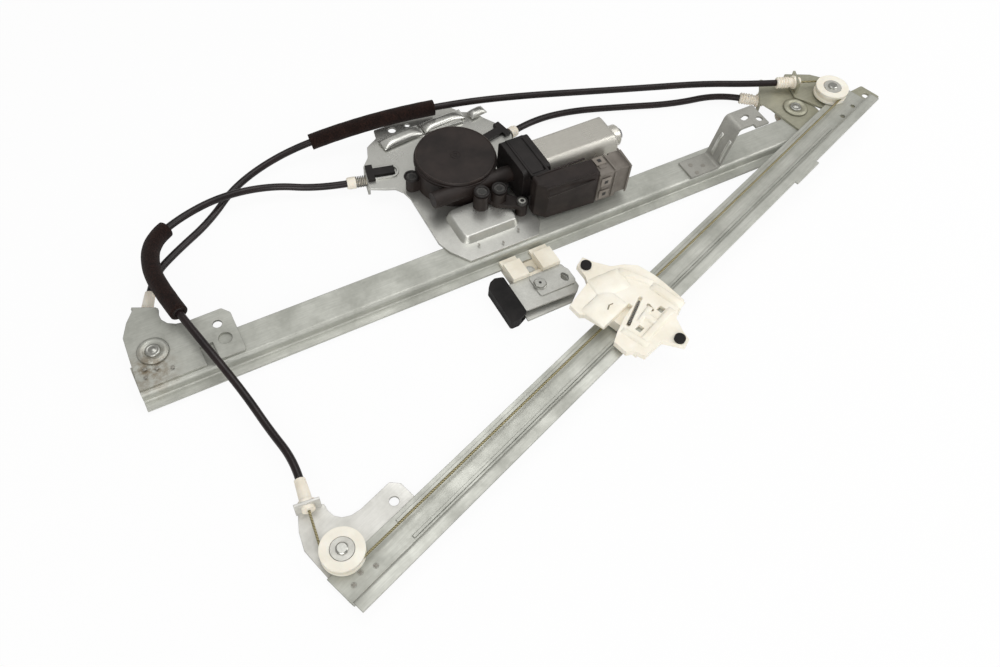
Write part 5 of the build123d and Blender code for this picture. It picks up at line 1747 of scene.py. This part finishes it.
@dataclass
class DriveDetails:
    """Rims, ridges and latches of the gear unit, with a painted highlight on the cover's rim and painted shade
    in its screw sockets and latch windows.
    """

    cover_u: float = 281.0
    cover_v: float = 60.0
    cover_top: float = 26.5
    skirt_levels: Pair = (23.2, 20.6)
    dimple_share: Point = (0.42, 0.42, 1.0)
    # The rim ring is raised, and its paler plastic is a painted highlight along the cover's edge.
    rim: Feature = Feature("cover_rim", Shape.RING, "painted_rim_highlight", "dark_plastic", 0.0665, 0.0011, 0.001)
    middle: Feature = Feature("cover_centre", Shape.RING, "brown_black", "dark_plastic", 0.008, 0.0007, 0.0007)
    skirt: Feature = Feature("cover_skirt", Shape.RING, "brown_black", "dark_plastic", 0.0688, 0.0018, 0.0018)
    posts: tuple[Point, ...] = ((282.0, 15.5, 24.4), (297.0, 12.5, 24.4), (242.0, 64.0, 14.4))
    low_post: Point = (312.5, 0.0, 14.4)
    low_share: Point = (0.62, 0.62, 1.0)
    post_rims: Feature = Feature("post_rims", Shape.RING, "black_plastic", "dark_plastic", 0.0112, 0.0022,
                                 0.002)
    # Dark discs on the screw posts: painted shade in the screw heads' sockets.
    screw_well_shades: Feature = Feature("screw_well_shades", Shape.DISC, "recess_shade", "screw_steel", 0.0052, 0.0052, 0.0002)
    lid: tuple[tuple[Point, Point], ...] = (
        ((329.0, 26.0, 35.0), (1.35, 0.55, 1.6)),
        ((322.6, 26.0, 35.0), (1.5, 0.09, 1.2)),
        ((337.5, 26.0, 35.0), (1.5, 0.09, 1.2)),
        ((331.0, 4.0, 34.0), (0.1, 0.75, 2.6)),
        ((331.0, 47.0, 34.0), (0.1, 0.75, 2.6)),
    )
    clips: tuple[Point, ...] = ((320.0, 0.2, 12.0), (330.0, 0.2, 12.0), (340.0, 0.2, 12.0))
    clip_share: Point = (0.12, 0.5, 3.0)
    lid_bars: Feature = Feature("holder_ridges", Shape.BAR, "black_plastic", "black_plastic", 0.03, 0.02,
                                0.0006)
    box_lines: tuple[Point, ...] = ((347.0, -16.6, 37.9), (347.0, 0.0, 37.9))
    box_line_share: Point = (1.0, 0.8, 1.0)
    box_edge: Point = (347.0, -18.7, 31.0)
    box_edge_share: Point = (1.0, 0.8, 0.8)
    box_bars: Feature = Feature("box_ridges", Shape.BAR, "brown_black", "dark_plastic", 0.046, 0.0016, 0.0008)
    side_latches: tuple[Point, ...] = ((380.0, -21.0, 12.5), (380.0, -21.0, 26.5))
    top_latch: Point = (381.0, -6.0, 35.7)
    latch_plates: Feature = Feature("latch_plates", Shape.BAR, "pale_taupe", "taupe_plastic", 0.0095, 0.0085,
                                    0.0009)
    # Dark squares on the latch plates: painted shade in the latch windows.
    latch_well_shades: Feature = Feature("latch_well_shades", Shape.BAR, "recess_shade", "taupe_plastic", 0.0034, 0.0034, 0.0001)
    side_steps: tuple[Point, ...] = ((388.5, -21.0, 19.5), (403.0, -21.0, 19.5))
    top_steps: tuple[Point, ...] = ((388.5, -10.4, 35.7), (403.0, -10.4, 35.7))
    top_step_share: Point = (0.7, 1.0, 1.0)
    plug_steps: Feature = Feature("plug_steps", Shape.BAR, "taupe_plastic", "taupe_plastic", 0.029, 0.0014,
                                  0.0009)
    can_v: float = 29.7
    can_up: float = 17.0
    collar_us: Pair = (416.0, 421.0)
    collars: Feature = Feature("can_collars", Shape.RING, "can_steel", "can_steel", 0.0146, 0.0014, 0.0014)
    nose_u: float = 425.6
    nose_steps: int = 40
    nose_form: tuple[Pair, ...] = (
        (-0.0006, 0.0), (-0.0006, 0.0057), (0.0022, 0.0057), (0.0033, 0.005), (0.004, 0.0032), (0.0042, 0.0),
    )

    def cover(self, finishes: Finishes) -> None:
        """Make the rim, centre mark and skirt of the round cover.

        Args:
            finishes: the object's finishes.
        """
        centre = rear_mark(self.cover_u, self.cover_v, self.cover_top)
        self.rim.lay([centre], finishes)
        self.middle.lay([centre, shared(centre, self.dimple_share)], finishes)
        self.skirt.lay([rear_mark(self.cover_u, self.cover_v, level) for level in self.skirt_levels], finishes)

    def can_end(self, finishes: Finishes) -> None:
        """Make the collars and bearing nose of the motor can.

        Args:
            finishes: the object's finishes.
        """
        marks = [Mark(REAR.spot(u, self.can_v, -self.can_up), REAR.across, REAR.along) for u in self.collar_us]
        self.collars.lay(marks, finishes)
        foot = REAR.spot(self.nose_u, self.can_v, -self.can_up)
        verts, faces = MeshBuilder.lathe(foot, REAR.along, self.nose_form, self.nose_steps)
        nose = MeshBuilder.object_from("bearing_nose", verts, faces, finishes.of("core_steel"))
        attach(nose, FRAME_BODY)

    def sockets(self, finishes: Finishes) -> None:
        """Make the rims of the screw posts, and dark discs painted as the shade in the screw heads' sockets.

        Args:
            finishes: the object's finishes.
        """
        marks = [rear_mark(*post) for post in self.posts]
        self.post_rims.lay(marks, finishes)
        self.screw_well_shades.lay([*marks, shared(rear_mark(*self.low_post), self.low_share)], finishes)

    def holder(self, finishes: Finishes) -> None:
        """Make the lid, ridges and clips of the brush holder.

        Args:
            finishes: the object's finishes.
        """
        marks = [rear_mark(*place, ACROSS, share) for place, share in self.lid]
        marks += [wall_mark(*place, share=self.clip_share) for place in self.clips]
        self.lid_bars.lay(marks, finishes)

    def box(self, finishes: Finishes) -> None:
        """Make the lid lines and edge ridge of the control box.

        Args:
            finishes: the object's finishes.
        """
        marks = [rear_mark(*place, share=self.box_line_share) for place in self.box_lines]
        self.box_bars.lay([*marks, wall_mark(*self.box_edge, share=self.box_edge_share)], finishes)

    def plug(self, finishes: Finishes) -> None:
        """Make the latch plates with dark squares painted as the shade in their windows, and the steps of the
        connector.

        Args:
            finishes: the object's finishes.
        """
        latches = [*(wall_mark(*place) for place in self.side_latches), rear_mark(*self.top_latch)]
        self.latch_plates.lay(latches, finishes)
        raised = [replace(mark, place=mark.place + mark.out * self.latch_plates.height) for mark in latches]
        self.latch_well_shades.lay(raised, finishes)
        marks = [wall_mark(*place, REAR.up) for place in self.side_steps]
        marks += [rear_mark(*place, ACROSS, self.top_step_share) for place in self.top_steps]
        self.plug_steps.lay(marks, finishes)

    def build(self, finishes: Finishes) -> None:
        """Make the whole gear unit's details.

        Args:
            finishes: the object's finishes.
        """
        self.cover(finishes)
        self.can_end(finishes)
        self.sockets(finishes)
        self.holder(finishes)
        self.box(finishes)
        self.plug(finishes)
        log.info("drive detailed")


@dataclass
class CableEnds:
    """Springs at the motor plate and ringed nipples at the upper plates."""

    left_span: float = 0.009
    right_span: float = 0.0065
    collar: float = 0.0075
    coils: Feature = Feature("coil_springs", Shape.SPRING, "spring_wire", "spring_steel", 0.0092, 0.0008,
                             0.009, 6)
    sleeves: Feature = Feature("ringed_sleeves", Shape.BELLOWS, "nipple_nylon", "nipple_nylon", 0.0108, 0.0108,
                               0.0125, 5)

    @staticmethod
    def leaving(route: list[Point], last: bool) -> tuple[Vector, Vector]:
        """Where a conduit ends and which way it leaves.

        Args:
            route: the conduit's points.
            last: whether the end is the route's last point.

        Returns:
            The end and the direction away from the plate.
        """
        here, ahead = (route[-1], route[-2]) if last else (route[0], route[1])
        return Vector(here), (Vector(ahead) - Vector(here)).normalized()

    def springs(self, finishes: Finishes) -> None:
        """Make the coil springs between the plate's arms and the nipples' collars.

        Args:
            finishes: the object's finishes.
        """
        marks = []
        for route, span in ((LEFT_ROUTE, self.left_span), (RIGHT_ROUTE, self.right_span)):
            exit_at, out = self.leaving(route, False)
            foot = exit_at - out * (self.collar + span)
            marks.append(Mark(foot, out.orthogonal().normalized(), out, (1.0, 1.0, span / self.left_span)))
        springs = self.coils.lay(marks, finishes)
        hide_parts("tension_springs")

    def ringed(self, finishes: Finishes) -> None:
        """Make the ringed sleeves on the two upper nipples.

        Args:
            finishes: the object's finishes.
        """
        marks = []
        for route, last in ((LONG_ROUTE, False), (RIGHT_ROUTE, True)):
            exit_at, out = self.leaving(route, last)
            marks.append(Mark(exit_at - out * self.sleeves.height, out.orthogonal().normalized(), out))
        self.sleeves.lay(marks, finishes)

    def build(self, finishes: Finishes) -> None:
        """Make both kinds.

        Args:
            finishes: the object's finishes.
        """
        self.springs(finishes)
        self.ringed(finishes)
        log.info("cable ends detailed")


@dataclass
class CarrierDetails:
    """Ribs, windows and painted slot shade of the front carrier; rivet and clamp screw of the rear one."""

    slab_up: float = 19.9
    slabs: tuple[tuple[float, float, float, Point], ...] = (
        (267.5, -5.5, 0.0, (1.05, 1.45, 1.2)),
        (288.0, 6.0, -20.0, (1.0, 1.3, 1.0)),
        (284.0, -45.5, 2.0, (1.35, 0.42, 1.3)),
        (284.0, -32.5, 8.0, (0.62, 0.3, 1.1)),
        (311.0, -34.0, 92.0, (1.0, 0.5, 1.4)),
        (284.0, -38.0, 90.0, (0.55, 0.42, 1.2)),
        (262.0, -40.0, 96.0, (0.8, 0.36, 1.0)),
        (308.0, -5.0, 108.0, (1.0, 0.4, 1.2)),
    )
    forms: Feature = Feature("carrier_forms", Shape.PILLOW, "cream_acetal", "cream_plastic", 0.03, 0.016,
                             0.0016, body="front_carrier")
    # Dark strips in the shadow cream: painted shade in the carrier's slots and grooves.
    slot_up: float = 21.92
    slot_shade_lines: tuple[tuple[float, float, float, Point], ...] = (
        (268.6, -8.6, 24.0, (0.14, 1.8, 1.0)),
        (272.2, -8.4, -18.0, (0.1, 1.4, 1.0)),
    )
    slot_shades: Feature = Feature("carrier_slot_shade", Shape.BAR, "cream_shadow", "cream_plastic", 0.034, 0.0006, 0.00012,
                             body="front_carrier")
    windows: tuple[Point, ...] = ((271.0, -37.5, 16.55), (297.0, -38.5, 16.55))
    panes: Feature = Feature("window_steel", Shape.BAR, "front_zinc", "cream_plastic", 0.0054, 0.0046, 0.0001,
                             body="front_carrier")
    rivet_at: Point = (293.2, -50.5, -12.4)
    rivet_share: Point = (0.6, 0.6, 2.2)
    rivets: Feature = Feature("shoe_rivet", Shape.DISC, "screw_steel", "screw_steel", 0.0092, 0.0092, 0.0014,
                              body="rear_carrier")
    screw_u: float = 291.0
    screw_v: float = -69.5
    screw_foot: float = 14.5
    screw_steps: int = 40
    screw_form: tuple[Pair, ...] = (
        (0.0, 0.0), (0.0, 0.0028), (0.0084, 0.0028), (0.0084, 0.0056), (0.0092, 0.0056), (0.0095, 0.005),
        (0.0095, 0.0),
    )
    hexagon_up: float = -5.0
    hexagon_turn: float = 20.0
    hexagon: Feature = Feature("screw_hexagon", Shape.HEX, "rivet_steel", "screw_steel", 0.0102, 0.0102, 0.0016,
                               body="rear_carrier")
    socket_up: float = -3.38
    # Dark hexagon on the screw head: painted shade in its socket.
    socket: Feature = Feature("screw_socket_shade", Shape.HEX, "recess_shade", "screw_steel", 0.0026, 0.0026, 0.00006,
                              body="rear_carrier")

    def front(self, finishes: Finishes) -> None:
        """Make the raised slabs and ribs, the dark strips of painted slot shade, and the steel seen through the
        windows.

        Args:
            finishes: the object's finishes.
        """
        marks = [front_mark(u, v, self.slab_up, heading, share) for u, v, heading, share in self.slabs]
        self.forms.lay(marks, finishes)
        lines = [front_mark(u, v, self.slot_up, heading, share) for u, v, heading, share in self.slot_shade_lines]
        self.slot_shades.lay(lines, finishes)
        self.panes.lay([front_mark(*window) for window in self.windows], finishes)

    def rear(self, finishes: Finishes) -> None:
        """Make the rivet between the blocks, and the flanged hexagon screw in place of the plain one.

        Args:
            finishes: the object's finishes.
        """
        rivet = rear_mark(*self.rivet_at)
        self.rivets.lay([rivet, shared(rivet, self.rivet_share)], finishes)
        foot = REAR.spot(self.screw_u, self.screw_v, self.screw_foot)
        verts, faces = MeshBuilder.lathe(foot, REAR.up, self.screw_form, self.screw_steps)
        body = MeshBuilder.object_from("flanged_screw", verts, faces, finishes.of("rivet_steel"), False)
        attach(body, "rear_carrier")
        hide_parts("clamp_screw")
        self.hexagon.lay([rear_mark(self.screw_u, self.screw_v, self.hexagon_up, self.hexagon_turn)], finishes)
        # Painted shade: the dark hexagon stands for the shade in the screw's socket.
        self.socket.lay([rear_mark(self.screw_u, self.screw_v, self.socket_up)], finishes)

    def build(self, finishes: Finishes) -> None:
        """Make both carriers' details.

        Args:
            finishes: the object's finishes.
        """
        self.front(finishes)
        self.rear(finishes)
        log.info("carriers detailed")


def dress_solids(finishes: Finishes) -> None:
    """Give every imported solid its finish.

    Args:
        finishes: the object's finishes.
    """
    for short, names in DRESS.items():
        for name in names:
            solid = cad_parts[name]
            for slot in solid.material_slots:
                slot.material = finishes.of(short)
            log.info("%s dressed in %s", name, short)


def main() -> None:
    """Build the camera, the light, the cords and every finish in order."""
    logging.basicConfig(level=logging.INFO)
    PhotoCamera().build()
    Studio().build()
    finishes = Finishes()
    finishes.build()
    dress_solids(finishes)
    for conduit in CONDUITS:
        conduit.build(finishes)
    for details in (PlateDetails(), DriveDetails(), CableEnds(), CarrierDetails()):
        details.build(finishes)


if __name__ == "__main__":
    main()
